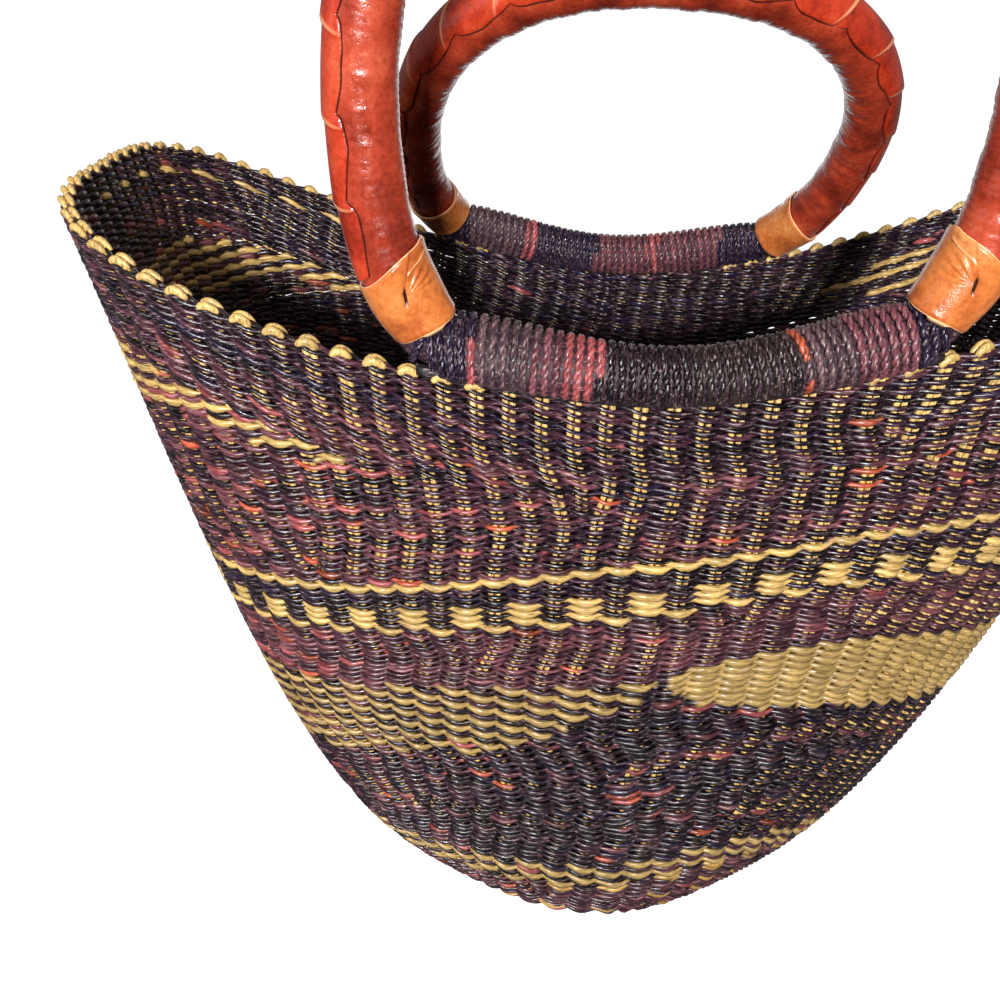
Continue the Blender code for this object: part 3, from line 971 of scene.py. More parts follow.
class Courses:
    """The courses of the wall, from the base's edge to the rim.

    The wall has four zones: the foot, the belly, the patterned band and the shoulder. Each
    zone's plan gives its full courses, how many of them lie under the short ones that fill the
    raised ends, and the usual height of a course.
    """

    FOOT, BELLY, BAND, SHOULDER = range(4)
    PLANS = ((9, 5, 0.0036), (36, 12, 0.0037), (19, 19, 0.0032), (22, 9, 0.0031))
    CHECK_ROWS = 4
    CHECK_WEIGHT = 1.22
    BAND_WEIGHTS = ((4, 1.14), (3, 1.04), (1, 1.14))
    BAND_REST = 0.93
    STRIPE_DEPTH = 16
    # Depths of the band's natural line and of its two rows of blocks
    LINE_DEPTH = 0
    BLOCK_DEPTHS = ((4, 5, 6), (7,))
    UNDER_RIM = 0.0012
    # Height of the courses' slow and fast waves, and their lengths in stakes
    SLOW_WOBBLE, SLOW_WAVE = 0.0004, 31.0
    FAST_WOBBLE, FAST_WAVE = 0.00018, 9.0
    # How many courses share a slow wave
    WAVING_ALIKE = 5

    def __init__(self, form: BasketForm, wall: WallMap) -> None:
        """Lay out the courses between the lines measured on the basket.

        Args:
            form: The wall's form.
            wall: Places on the wall.
        """
        stake = np.arange(wall.columns) / wall.columns * form.stake_count
        stake = np.where(stake < form.stake_count / 2, form.stake_count - stake, stake)
        foot, belly, fall = (self.line(measured, stake) for measured in (FOOT_LINE, BELLY_LINE, BAND_FALL))
        lines = [np.zeros_like(foot), foot, belly, wall.reach - fall, wall.reach - self.UNDER_RIM]
        self.all: list[Course] = []
        front_middle = wall.columns * 3 // 4
        for zone, (full, wedge_after, row_height) in enumerate(self.PLANS):
            height = lines[zone + 1] - lines[zone]
            extra = np.maximum(height / row_height - full, 0) * (zone != self.BAND)
            short = int(math.ceil(extra.max() - 1e-6))
            whole = np.ones_like(extra)
            present = np.array([whole] * wedge_after + [np.clip(extra - step, 0, 1) for step in range(short)]
                               + [whole] * (full - wedge_after))
            weight = self.weights(zone, len(present))[:, None]
            room = present * weight
            pitch = height / room.sum(axis=0)
            tops = np.cumsum(room, axis=0) * pitch
            for row in range(len(present)):
                number = len(self.all)
                length = lines[zone] + tops[row] - room[row] * pitch / 2
                wobble = ripple(number // self.WAVING_ALIKE, stake, self.SLOW_WAVE) * self.SLOW_WOBBLE
                fast = ripple(Seed.COURSE + number, stake, self.FAST_WAVE)
                wobble = wobble + fast * self.FAST_WOBBLE
                self.all.append(Course(number, float(length[front_middle]), length + wobble,
                                       pitch * weight[row], present[row], Colouring.DARK,
                                       wall.reach - length, len(present) - 1 - row, row, zone, number))
        self.dress()

    def weights(self, zone: int, rows: int) -> Array:
        """Share of height of each of a zone's courses.

        Args:
            zone: The zone's number.
            rows: How many courses it has.

        Returns:
            Shares from the lowest course up, 1 where nothing is said.
        """
        if zone == self.BELLY:
            stretches = ((self.CHECK_ROWS, self.CHECK_WEIGHT), (rows - self.CHECK_ROWS, 1.0))
        elif zone == self.BAND:
            patterned = sum(count for count, _ in self.BAND_WEIGHTS)
            stretches = ((rows - patterned, self.BAND_REST), *self.BAND_WEIGHTS)
        else:
            stretches = ((rows, 1.0),)
        return np.concatenate([np.full(count, weight) for count, weight in stretches])

    @staticmethod
    def line(measured: tuple[tuple[float, ...], tuple[float, ...]], stake: Array) -> Array:
        """Draw a measured line round the wall, rounded off.

        Args:
            measured: Stakes, and lengths up the wall there in millimetres.
            stake: Stakes at which it is wanted.

        Returns:
            Lengths in metres.
        """
        return hump_mean(np.interp(stake, *measured) / 1000, 15, "wrap")

    def dress(self) -> None:
        """Give the patterned courses their colouring and the change-over of their strands."""
        for course in self.all:
            if course.zone == self.BAND and course.depth == self.LINE_DEPTH:
                course.colouring = Colouring.LINE
            elif course.zone == self.BAND and course.depth in self.BLOCK_DEPTHS[0]:
                course.colouring, course.shift = Colouring.BLOCK, 0
            elif course.zone == self.BAND and course.depth in self.BLOCK_DEPTHS[1]:
                course.colouring, course.shift = Colouring.BLOCK, 1
            elif course.zone == self.BELLY and course.depth < self.STRIPE_DEPTH:
                course.colouring = Colouring.STRIPE
            elif course.zone == self.BELLY and course.row < self.CHECK_ROWS:
                course.colouring = Colouring.CHECK


@dataclass(frozen=True)
class Palette:
    """Straws of a stretch of the wall and how often each comes up."""
    straws: tuple[Straw, ...]
    shares: tuple[float, ...]

    def pick(self, chances: Array) -> Array:
        """Choose straws by their shares.

        Args:
            chances: Chances of 0 to 1.

        Returns:
            One colour for each, in linear light.
        """
        edges = np.cumsum(self.shares) / sum(self.shares)
        chosen = np.minimum(np.searchsorted(edges, chances), len(self.straws) - 1)
        return np.array([straw.value for straw in self.straws])[chosen]


SHOULDER_STRAWS = Palette((Straw.PURPLE, Straw.PLUM, Straw.MAUVE, Straw.BLACK), (0.32, 0.3, 0.18, 0.2))
UPPER_STRAWS = Palette((Straw.PURPLE, Straw.BLACK, Straw.PLUM, Straw.INDIGO), (0.34, 0.34, 0.2, 0.12))
# Darkest straws: used in the belly and the band's upper rows, and at the back of the shoulder as painted
# shade.
DARK_AND_SHADE_STRAWS = Palette((Straw.BLACK, Straw.INDIGO, Straw.PURPLE), (0.5, 0.22, 0.28))
BAND_STRAWS = Palette((Straw.PLUM, Straw.MAUVE, Straw.PURPLE), (0.5, 0.34, 0.16))
FOOT_STRAWS = Palette((Straw.PLUM, Straw.HONEY, Straw.MAUVE, Straw.PURPLE), (0.5, 0.16, 0.2, 0.14))
ACCENT_STRAWS = Palette((Straw.MAUVE, Straw.ROSE, Straw.ORANGE), (0.5, 0.38, 0.12))


@dataclass(frozen=True)
class Twining:
    """How a strand runs: before one stake, behind the next, and slanting between them.

    Args:
        reach: How far a strand's middle swings out and in.
        slant: How far it rises and falls where the two cross.
        leaning: The same in the striped and checked courses, as a share of the course's room.
        sag: How far it hangs down before a stake.
        thickness: Half its thickness across the wall.
        girth: Least share of that thickness, and what chance adds.
        outer_girth: Share of it behind a stake, and what is added before one.
        fill: Share of a course's room that a strand fills before a stake, least and most, in each zone.
        natural_fill: The same for natural straw.
        packed: Added to the fill at the shoulder's left end, where the courses are beaten closer.
        packed_stakes: Stake where that starts to fade towards the front's middle, and over how many.
        behind: Share of a course's room that it fills behind a stake.
        waist: Share of its height left where the two cross.
        proud: How far natural straw stands out before a stake.
        shown: Share of a short course that has to be there for it to be drawn.
        steps: Rings for each stake.
        sides: Points round a ring.
    """
    reach: float = 0.00172
    slant: float = 0.00080
    leaning: float = 0.36
    sag: float = 0.00045
    thickness: float = 0.00105
    girth: tuple[float, float] = (0.88, 0.24)
    outer_girth: tuple[float, float] = (0.85, 0.15)
    fill: tuple[tuple[float, float], ...] = ((0.85, 1.1), (0.66, 1.1), (0.52, 1.0), (0.42, 0.98))
    natural_fill: tuple[float, float] = (1.06, 1.18)
    packed: float = 0.24
    packed_stakes: tuple[float, float] = (69, 6)
    behind: float = 1.12
    waist: float = 0.62
    proud: float = 0.0002
    shown: float = 0.25
    steps: int = 6
    sides: int = 5


@dataclass(frozen=True)
class StakeShape:
    """The two straws of a stake.

    Args:
        half_width: Half a straw's width along the wall.
        half_depth: Half its thickness.
        apart: Distance of each from the stake's middle.
        sway: How far it wanders.
        late: How far over its starting level it begins.
        short: How far under the rim it ends.
        foot: How far up from the base's edge the first stakes begin.
    """
    half_width: float = 0.00124
    half_depth: float = 0.00150
    apart: float = 0.00132
    sway: float = 0.00018
    late: float = 0.004
    short: float = 0.001
    foot: float = 0.0005


@dataclass(frozen=True)
class FoldShape:
    """A stake's two straws, folded over the rim.

    Args:
        sink: How far a fold's feet lie under the rim.
        lift: Least height of its arch.
        lift_spread: What chance adds to it.
        out: Place of the inner and the outer straw across the rim, where the fold starts.
        drift: How far it moves inwards along its way.
        thin: Half a straw's thickness at its feet.
        swell: What the arch adds to it.
        first_x: Distance from the mouth's middle from which stakes are folded.
        rings: Rings of a fold.
        sides: Points round a ring.
    """
    sink: float = 0.0022
    lift: float = 0.0016
    lift_spread: float = 0.0007
    out: tuple[float, float] = (-0.0007, 0.0019)
    drift: float = 0.0016
    thin: float = 0.0009
    swell: float = 0.0006
    first_x: float = 0.064
    rings: int = 13
    sides: int = 8


class WovenWall:
    """The twined wall: its strands, course by course, and the stakes inside them.

    Places round it are counted in stakes from +X, so the front runs from 52 at the left end to
    104 at the right.
    """

    BANDS = ("foot", "belly_low", "belly_middle", "belly_high", "band", "shoulder_low", "shoulder_middle",
             "shoulder_high", "top")
    # Brightness of natural and dyed straw in each zone: the foot and belly are darkened as painted shade of
    # the lower wall
    NATURAL_SHADE_BY_ZONE = (0.66, 0.64, 0.94, 1.0)
    DYED = (0.66, 0.72, 0.92, 0.95)
    # Least tone of a natural and a dyed straw, and what chance adds
    AGED_TONE = (0.82, 0.28)
    DYED_TONE = (0.45, 1.0)
    # Stakes that a straw lasts: the least, what chance adds, and how many may lie behind the first
    STRAW_RUN = (5, 5, 9)
    # Courses of the band's blocks, and shares of bright straws at stakes
    BAND_ROWS = 8
    ACCENT_SHARES = ((52, 62, 70, 80, 104), (0.26, 0.26, 0.16, 0.09, 0.09))
    # What is left of those shares over the blocks, in the shoulder's top rows, in the belly and at the back,
    # where the fewer bright straws are painted shade of the basket's inside
    ACCENTS_LEFT = (0.0, 0.3, 0.5, 0.35)
    TOP_ROWS = 10
    # The belly's warm straws: stake and stakes over which they fade, their share there and everywhere
    WARM_END = (76, 14)
    WARM_SHARES = (0.6, 0.15)
    # How far under the rim the upper straws reach, and how much that wavers
    UPPER_REACH = (0.034, 0.01)
    # End of the back's stretch of darkest straws, as a share of the stakes: painted shade of the basket's
    # inside.
    BACK_END_SHARE = 0.42
    # The belly's stripes: last stake and stakes lost with each course, and depth in courses
    STRIPES_END = (79.6, 0.69)
    STRIPES_DEPTH = (10.5, 4.5)
    # The belly's wedge: stakes, and its depth in courses there
    WEDGE_DEPTHS = ((79.4, 80.6, 84, 88, 104), (1.5, 5, 8.5, 10, 11))
    # The shoulder's wedge: stakes, and its lower and upper edge under the rim
    SHOULDER_STAKES = (52, 58, 62, 64, 67.2)
    SHOULDER_WEDGE = ((0.0712, 0.0700, 0.054, 0.0520, 0.0470), (0.0455, 0.0450, 0.042, 0.0410, 0.0400))
    SHOULDER_END = 67.4
    # Natural lines: one round the left end, and some at the back with their last stakes
    LEFT_LINE = (36, 54, 3)
    BACK_START = 4
    BACK_LINES = {6: 13.0, 8: 15.2, 11: 12.8}

    def __init__(self, form: BasketForm) -> None:
        """Measure the wall and lay out its courses.

        Args:
            form: The wall's form.
        """
        self.form = form
        self.map = WallMap(form)
        self.stakes = Stakes(form.stake_count)
        self.courses = Courses(form, self.map)
        self.twining, self.stake_shape, self.fold_shape = Twining(), StakeShape(), FoldShape()

    def strand(self, course: Course, which: int) -> Rings:
        """Rings of one strand of a course.

        Its middle lies at the wall's middle plus the reach times the cosine of a phase that
        grows by a half turn at each stake, and it falls by the slant times the sine. Its height
        is greatest before a stake and least at the crossing.

        Args:
            course: The course.
            which: 0 or 1, the strand of the pair.

        Returns:
            Its rings, coloured.
        """
        twining = self.twining
        _, turns = self.stakes.standing(course.level)
        count = len(turns)
        index = np.arange(count * twining.steps + 1) / twining.steps
        turn = np.interp(index, np.arange(count + 1), np.append(turns, turns[0] + 1.0))
        length, pitch, present = (self.map.spread(values, turn)
                                  for values in (course.length, course.pitch, course.present))
        phase = math.pi * (index + which + course.shift)
        before = np.cos(phase)
        ahead, astern = np.clip(before, 0, 1), np.clip(-before, 0, 1)
        outermost = smooth_step(before * 0.9 + 0.5)
        points, outward, upward = self.map.place(turn, length)
        chance = np.random.default_rng(Seed.STRAND + course.number * 2 + which).random((4, count + 2))
        nearest = np.round(index).astype(int)
        shade, natural = self.colours(course, which, index, turn, chance)
        dyed_fill = self.between(twining.fill[course.zone], chance[0][nearest]) + self.packed(course, turn)
        full = np.where(natural, self.between(twining.natural_fill, chance[0][nearest]), dyed_fill)
        full = full * ahead + (1 - ahead) * twining.waist
        back = twining.behind * astern + (1 - astern) * twining.waist
        height = pitch / 2 * np.where(before > 0, full, back) * np.minimum(present, 1)
        pinch = np.clip(present * 1.5, 0, 1)
        depth = twining.thickness * (twining.girth[0] + twining.girth[1] * chance[1][nearest])
        depth = depth * (twining.outer_girth[0] + twining.outer_girth[1] * outermost)
        depth = depth * np.maximum(pinch, 0.02)
        out = twining.reach * before * pinch + twining.proud * natural * outermost
        leaning = course.colouring in (Colouring.STRIPE, Colouring.CHECK)
        slant = pitch * twining.leaning if leaning else twining.slant
        lift = -slant * np.sin(phase) - twining.sag * ahead
        centres = points + outward * out[:, None] + upward * lift[:, None]
        return Rings.one(centres, upward * height[:, None], outward * depth[:, None], shade,
                         present > twining.shown)

    @staticmethod
    def between(limits: tuple[float, float], chance: Array) -> Array:
        """Values between a least and a greatest, by chance."""
        return limits[0] + (limits[1] - limits[0]) * chance

    def packed(self, course: Course, turn: Array) -> Array:
        """What the closer beating at the shoulder's left end adds to a strand's fill.

        Args:
            course: The strand's course.
            turn: Turns round the wall.

        Returns:
            What is added at each.
        """
        stake, width = self.twining.packed_stakes
        near = smooth_step((stake - turn * self.form.stake_count) / width) * (turn > 0.45)
        return self.twining.packed * near * (course.zone > Courses.BELLY)

    def dyes(self, course: Course, index: Array, stake: Array, below: Array,
             seeds: np.random.Generator) -> Array:
        """Draw the dyed straws that a strand is made of.

        A straw lasts some ten stakes, so the colour is drawn afresh that often, from the straws
        of its stretch of the wall. At the back of the shoulder the darkest straws are painted shade of the
        basket's inside.

        Args:
            course: The strand's course.
            index: Stakes passed so far.
            stake: Place round the wall, in stakes.
            below: How far each ring lies under the rim.
            seeds: Where the chances come from.

        Returns:
            Colours in linear light.
        """
        least, added, before = self.STRAW_RUN
        run = np.floor((index + seeds.random() * before) / (least + added * seeds.random())).astype(int)
        drawn = seeds.random(run.max() + 1)[run]
        front = self.mirrored(stake)
        if course.zone == Courses.FOOT:
            return FOOT_STRAWS.pick(drawn)
        if course.zone == Courses.BELLY:
            near = smooth_step((self.WARM_END[0] - front) / self.WARM_END[1])
            warm = seeds.random(run.max() + 1)[run] < near * self.WARM_SHARES[0] + self.WARM_SHARES[1]
            return np.where(warm[:, None], SHOULDER_STRAWS.pick(drawn), DARK_AND_SHADE_STRAWS.pick(drawn))
        if course.zone == Courses.BAND:
            return (DARK_AND_SHADE_STRAWS if course.depth < self.BAND_ROWS else BAND_STRAWS).pick(drawn)
        upper = below < self.UPPER_REACH[0] + self.UPPER_REACH[1] * np.sin(front)
        colour = np.where(upper[:, None], UPPER_STRAWS.pick(drawn), SHOULDER_STRAWS.pick(drawn))
        # Painted shade: the back of the shoulder takes the darkest straws.
        back = (stake > self.BACK_START) & (stake < self.form.stake_count * self.BACK_END_SHARE)
        return np.where(back[:, None], DARK_AND_SHADE_STRAWS.pick(drawn), colour)

    def mirrored(self, stake: Array) -> Array:
        """Places round the wall in stakes, with the back's carried over to the front."""
        return np.where(stake < self.form.stake_count / 2, self.form.stake_count - stake, stake)

    def accents(self, course: Course, stake: Array) -> Array:
        """Share of bright straws at each place: most at the front's left, few at the back, where the fewer
        bright straws are painted shade.

        Args:
            course: The strand's course.
            stake: Place round the wall, in stakes.

        Returns:
            Shares of 0 to 1.
        """
        share = np.interp(self.mirrored(stake), *self.ACCENT_SHARES)
        over_blocks, high, low, back = self.ACCENTS_LEFT
        if course.zone == Courses.BAND and course.depth < self.BAND_ROWS:
            share = share * over_blocks
        elif course.zone == Courses.SHOULDER and course.depth < self.TOP_ROWS:
            share = share * high
        elif course.zone < Courses.BAND:
            share = share * low
        # Painted shade: fewer bright straws at the back.
        return np.where(stake < self.form.stake_count / 2, share * back, share)

    def natural(self, course: Course, which: int, stake: Array, below: Array) -> Array:
        """Find the rings of a strand that are of natural straw.

        The belly's stripes and wedge are bounded by lines of stake against depth, the
        shoulder's wedge by lines of stake against the distance under the rim.

        Args:
            course: The strand's course.
            which: 0 or 1, the strand of the pair.
            stake: Place round the wall, in stakes.
            below: How far each ring lies under the rim.

        Returns:
            True where the straw is natural.
        """
        front = self.mirrored(stake)
        if course.colouring is Colouring.STRIPE:
            (last, lost), (depth, deeper) = self.STRIPES_END, self.STRIPES_DEPTH
            left = front < last - lost * course.depth
            left &= course.depth < depth + smooth_step((70 - front) / 12) * deeper
            wedge = (front > self.WEDGE_DEPTHS[0][0]) & (course.depth < np.interp(front, *self.WEDGE_DEPTHS))
            return (left & (which == 0)) | wedge
        if course.zone != Courses.SHOULDER:
            paired = course.colouring in (Colouring.BLOCK, Colouring.CHECK) and which == 0
            return np.full(len(stake), paired or course.colouring is Colouring.LINE)
        low, high = (np.interp(front, self.SHOULDER_STAKES, edge) for edge in self.SHOULDER_WEDGE)
        found = (below < low) & (below > high) & (front < self.SHOULDER_END) & (course.number % 2 == 0)
        start, end, depth = self.LEFT_LINE
        found |= (stake > start) & (stake < end) & (course.depth == depth) & (which == 0)
        found |= (stake > self.BACK_START) & (stake < self.BACK_LINES.get(course.depth, 0.0))
        return found

    def colours(self, course: Course, which: int, index: Array, turn: Array, chance: Array
                ) -> tuple[Array, Array]:
        """Colour of each ring of a strand: its dyed straws, then accents, then natural straw.

        Args:
            course: The course.
            which: 0 or 1, the strand of the pair.
            index: Stakes passed so far.
            turn: Turn of each ring.
            chance: Chances of 0 to 1, for each stake.

        Returns:
            Colours in linear light, and which rings are of natural straw.
        """
        stake = turn % 1.0 * self.form.stake_count
        nearest = np.round(index).astype(int)
        below = self.map.spread(course.below_rim, turn)
        seeds = np.random.default_rng(Seed.DYE + course.number * 2 + which)
        colour = self.dyes(course, index, stake, below, seeds)
        accented = self.accents(course, stake)
        accent = ACCENT_STRAWS.pick(chance[2][nearest] / np.maximum(accented, 1e-6))
        colour = np.where((chance[2][nearest] < accented)[:, None], accent, colour)
        natural = self.natural(course, which, stake, below)
        # Painted shade: the zone factors darken the foot and belly; the chance adds random tone of the straw.
        natural_tone = self.NATURAL_SHADE_BY_ZONE[course.zone] * (self.AGED_TONE[0] + self.AGED_TONE[1] * chance[3][nearest])
        dyed = self.DYED[course.zone] * (self.DYED_TONE[0] + self.DYED_TONE[1] * chance[3][nearest])
        straw = np.array(Straw.NATURAL.value) * natural_tone[:, None]
        colour = np.where(natural[:, None], straw, colour * dyed[:, None])
        return np.clip(colour, 0, 1), natural

    def stake_rings(self, number: int) -> Rings:
        """Two natural straws side by side, up the wall through the place of one stake at each level.

        Args:
            number: The stake's number.

        Returns:
            Rings of both straws.
        """
        shape = self.stake_shape
        full = [course for course in self.courses.all if course.present.min() > 0.99]
        start = self.stakes.start[number]
        picked = [course for course in full if course.level > start + shape.late][::2]
        turns = np.array([self.stakes.turns(course.level)[number] for course in picked])
        lengths = np.array([float(self.map.spread(course.length, np.array([turn]))[0])
                            for course, turn in zip(picked, turns)])
        lengths[-1] = float(self.map.reach_at(turns[-1:])[0]) - shape.short
        if start < 0:
            turns = np.concatenate([turns[:1], turns])
            lengths = np.concatenate([[shape.foot], lengths])
        points, outward, upward = self.map.place(turns, lengths)
        sideways = np.cross(upward, outward)
        parts = []
        for which in (-1, 1):
            seed = number * 3 + which + 1
            sway = shape.sway * ripple(seed, lengths * 1000, 40.0)
            centres = points + sideways * (which * shape.apart + sway)[:, None]
            shade = np.array(Straw.NATURAL.value) * (0.85 + 0.3 * np.random.default_rng(seed).random())
            parts.append(Rings.one(centres, sideways * shape.half_width, outward * shape.half_depth, shade))
        return Rings.joined(parts)

    def build(self) -> None:
        """Make the wall's pieces: its courses in nine bands of like size, its stakes and their ends."""
        weave, natural = WEAVE_STRAW.build(), STAKE_STRAW.build()
        made = [Rings.joined([self.strand(course, which) for which in (0, 1)]) for course in self.courses.all]
        shown = np.cumsum([part.shown.sum() for part in made])
        groups = (shown / (shown[-1] + 1) * len(self.BANDS)).astype(int)
        for band, name in enumerate(self.BANDS):
            parts = [part for part, group in zip(made, groups) if group == band]
            item = tube_object(f"{name}_courses", Rings.joined(parts), self.twining.sides)
            finish_piece(item, weave, "basket", "woven_wall")
        rings = Rings.joined([self.stake_rings(number) for number in range(self.form.stake_count)])
        item = tube_object("stake_straws", rings, self.twining.sides)
        finish_piece(item, natural, "basket", "woven_wall")
        for side_name, side in (("left", -1), ("right", 1)):
            item = tube_object(f"{side_name}_folded_ends", self.folds(side), self.fold_shape.sides)
            finish_piece(item, natural, "basket", f"{side_name}_stake_ends")

    def folds(self, side: int) -> Rings:
        """Fold the stakes' ends over the rim beyond the rolls, at one end of the mouth.

        Args:
            side: -1 at the left end, 1 at the right.

        Returns:
            Rings of all their straws.
        """
        stakes = np.arange(self.form.stake_count) / self.form.stake_count
        rim_x = self.map.points[-1, (stakes * self.map.columns).astype(int), 0]
        return Rings.joined([self.fold_rings(int(number), straw)
                             for number in np.flatnonzero(rim_x * side > self.fold_shape.first_x)
                             for straw in (0, 1)])

    def fold_rings(self, number: int, straw: int) -> Rings:
        """One straw of a folded stake end: up from its stake, over the rim and down at the next.

        Its lift and its girth are powers of the sine of its way along the fold.

        Args:
            number: The stake's number.
            straw: 0 for the inner straw, 1 for the outer one.

        Returns:
            Its rings.
        """
        shape = self.fold_shape
        rng = np.random.default_rng(Seed.FOLD + number * 2 + straw)
        share = np.linspace(0, 1, shape.rings)
        arch = np.sin(share * math.pi)
        turn = (number - 0.02 + (share - 0.5) * (0.50 + 0.1 * rng.random())) / self.form.stake_count
        rise = -shape.sink + (shape.lift + shape.lift_spread * rng.random()) * arch ** 0.8
        out = shape.out[straw] - shape.drift * share
        points, outward, upward = self.map.place(turn, self.map.reach_at(turn))
        centres = points + upward * rise[:, None] + outward * out[:, None]
        fat = shape.thin + shape.swell * arch ** 0.7
        cross = 1 + 0.10 * np.sin(share * 31 + number)
        shade = np.array(Straw.NATURAL.value) * ((0.85 + 0.25 * rng.random()) * cross)[:, None]
        first = unit(np.cross(outward, unit(np.gradient(centres, axis=0))))
        return Rings.one(centres, first * (fat * 1.1)[:, None], outward * (fat * 0.9)[:, None],
                         np.clip(shade, 0, 1))


class WovenBase:
    """The round base: twined rings about the middle, flat underneath."""

    STAKE_ROOM = 0.0092
    SWING = 0.0012
    SLANT = 0.0005
    HALF_DEPTH = 0.00095
    SPOKES = 52
    SPOKE_STARTS = (0.004, 0.036, 0.016, 0.036)
    SPOKE_SHORT = 0.0006
    SPOKE_HALF = (0.0016, 0.0009)
    LEAST_STAKES = 12
    STEPS = 4
    RING_TURN = 0.37
    # Share of a ring's room that a strand fills at a crossing, and what is added at a stake
    FILL = (0.62, 0.36)
    STRAW_RUN = 8
    SIDES = 6

    def __init__(self, form: BasketForm, pitch: float = 0.0026) -> None:
        """Keep the base's measures.

        Args:
            form: The basket's form.
            pitch: Room of one ring.
        """
        self.form = form
        self.pitch = pitch

    def ring(self, number: int, which: int, radius: float) -> Rings:
        """One strand of one ring.

        Its height is the middle plus the swing times a cosine that grows by a half turn at each
        stake, and it leans in and out by the sine.

        Args:
            number: The ring's number from the outside.
            which: 0 or 1, the strand of the pair.
            radius: The ring's radius.

        Returns:
            Its rings.
        """
        count = max(self.LEAST_STAKES, int(radius * TAU / self.STAKE_ROOM) // 2 * 2)
        index = np.arange(count * self.STEPS + 1) / self.STEPS
        turn = index / count * TAU + number * self.RING_TURN
        phase = math.pi * (index + which + number)
        outward = np.stack([np.cos(turn), np.sin(turn), np.zeros(len(turn))], axis=1)
        centres = outward * (radius - self.SLANT * np.sin(phase))[:, None]
        centres[:, 2] = self.form.wall_thickness / 2 + self.SWING * np.cos(phase)
        broad = self.pitch / 2 * (self.FILL[0] + self.FILL[1] * np.abs(np.cos(phase)))
        rng = np.random.default_rng(Seed.BASE + number * 2 + which)
        drawn = rng.random(count // self.STRAW_RUN + 2)[(index / self.STRAW_RUN).astype(int)]
        return Rings.one(centres, outward * broad[:, None], np.array([0.0, 0.0, self.HALF_DEPTH]),
                         FOOT_STRAWS.pick(drawn))

    def spoke(self, number: int) -> Rings:
        """One stake in the base, from near its middle to its edge.

        Args:
            number: The stake's number, from +X round.

        Returns:
            Its rings.
        """
        angle = number / self.SPOKES * TAU
        end = self.form.base_diameter / 2 - self.SPOKE_SHORT
        reach = np.linspace(self.SPOKE_STARTS[number % 4], end, 9)
        aside = np.array([-math.sin(angle), math.cos(angle), 0.0])
        centres = np.stack([math.cos(angle) * reach, math.sin(angle) * reach,
                            np.full(len(reach), self.form.wall_thickness / 2)], axis=1)
        return Rings.one(centres, np.array([0.0, 0.0, self.SPOKE_HALF[1]]), aside * self.SPOKE_HALF[0],
                         Straw.NATURAL.value)

    def build(self) -> None:
        """Make the base's strands and the stakes that cross under them."""
        radii = np.arange(self.form.base_diameter / 2 - self.pitch / 2, self.pitch, -self.pitch)
        parts = [self.ring(number, which, float(radius)) for number, radius in enumerate(radii)
                 for which in (0, 1)]
        parts += [self.spoke(number) for number in range(self.SPOKES)]
        item = tube_object("base_courses", Rings.joined(parts), self.SIDES)
        finish_piece(item, WEAVE_STRAW.build(), "basket", "woven_base")


# Rolls

@dataclass(frozen=True)
class RollShape:
    """Measures of a roll, as in the CAD part."""
    span: float = 0.1692
    diameter: float = 0.0200
    dip: float = 0.0125
    inset: float = 0.0065
    gap: float = 0.0003

    def axis_y(self, form: BasketForm) -> float:
        """Distance of a roll's axis from the middle of the mouth."""
        return float(form.edge_width(self.span / 2)) - self.inset

    def frame(self, form: BasketForm, side: int) -> Matrix:
        """Place of a roll's axis: X along it, Y into the basket, Z up.

        Args:
            form: The basket's form.
            side: -1 in front, 1 at the back.

        Returns:
            The matrix from the roll's frame to the row frame.
        """
        axis = self.axis_y(form)
        ends = form.rim_height(np.array([-side, side]) * (-self.span / 2), np.array([side * axis] * 2))
        tilt = math.atan2(ends[1] - ends[0], self.span)
        turn = Matrix.Rotation(0.0 if side < 0 else math.pi, 4, "Z")
        height = form.side_height + self.diameter / 2 + self.gap + self.dip
        return turn @ Matrix.Translation((0, -axis, height)) @ Matrix.Rotation(-tilt, 4, "Y")

    def line(self, form: BasketForm, x: Array) -> Array:
        """Middle of the roll in its frame: it dips onto the rim and bows out with it.

        Both follow the square of one less the square of the distance from the middle.

        Args:
            form: The basket's form.
            x: Places along the roll.

        Returns:
            Points.
        """
        bow = form.mouth_width / 2 - self.axis_y(form)
        hang = (1 - np.clip((x / (self.span / 2)) ** 2, 0, 1)) ** 2
        return np.stack([x, -bow * hang, -self.dip * hang], axis=1)


def placed(points: Array, matrix: Matrix) -> Array:
    """Points carried by a matrix, rows of them or a single row."""
    values = np.array(matrix)
    return points @ values[:3, :3].T + values[:3, 3]


def turned(vectors: Array, matrix: Matrix) -> Array:
    """Directions turned by a matrix."""
    return vectors @ np.array(matrix)[:3, :3].T


# Where each stretch of the rolls' cord starts, as a share from left to right, and its straw
FRONT_WRAP = ((0.0, Straw.INDIGO), (0.10, Straw.ROSE), (0.12, Straw.GREY), (0.22, Straw.MAUVE),
              (0.27, Straw.ROSE), (0.35, Straw.BLACK), (0.52, Straw.OLIVE), (0.70, Straw.BLACK),
              (0.715, Straw.ORANGE), (0.73, Straw.GREY), (0.81, Straw.MAUVE), (0.93, Straw.INDIGO))
BACK_WRAP = ((0.0, Straw.INDIGO), (0.07, Straw.GREY), (0.24, Straw.ROSE), (0.27, Straw.INDIGO),
             (0.46, Straw.MAUVE), (0.63, Straw.ROSE), (0.66, Straw.MAUVE), (0.84, Straw.INDIGO))


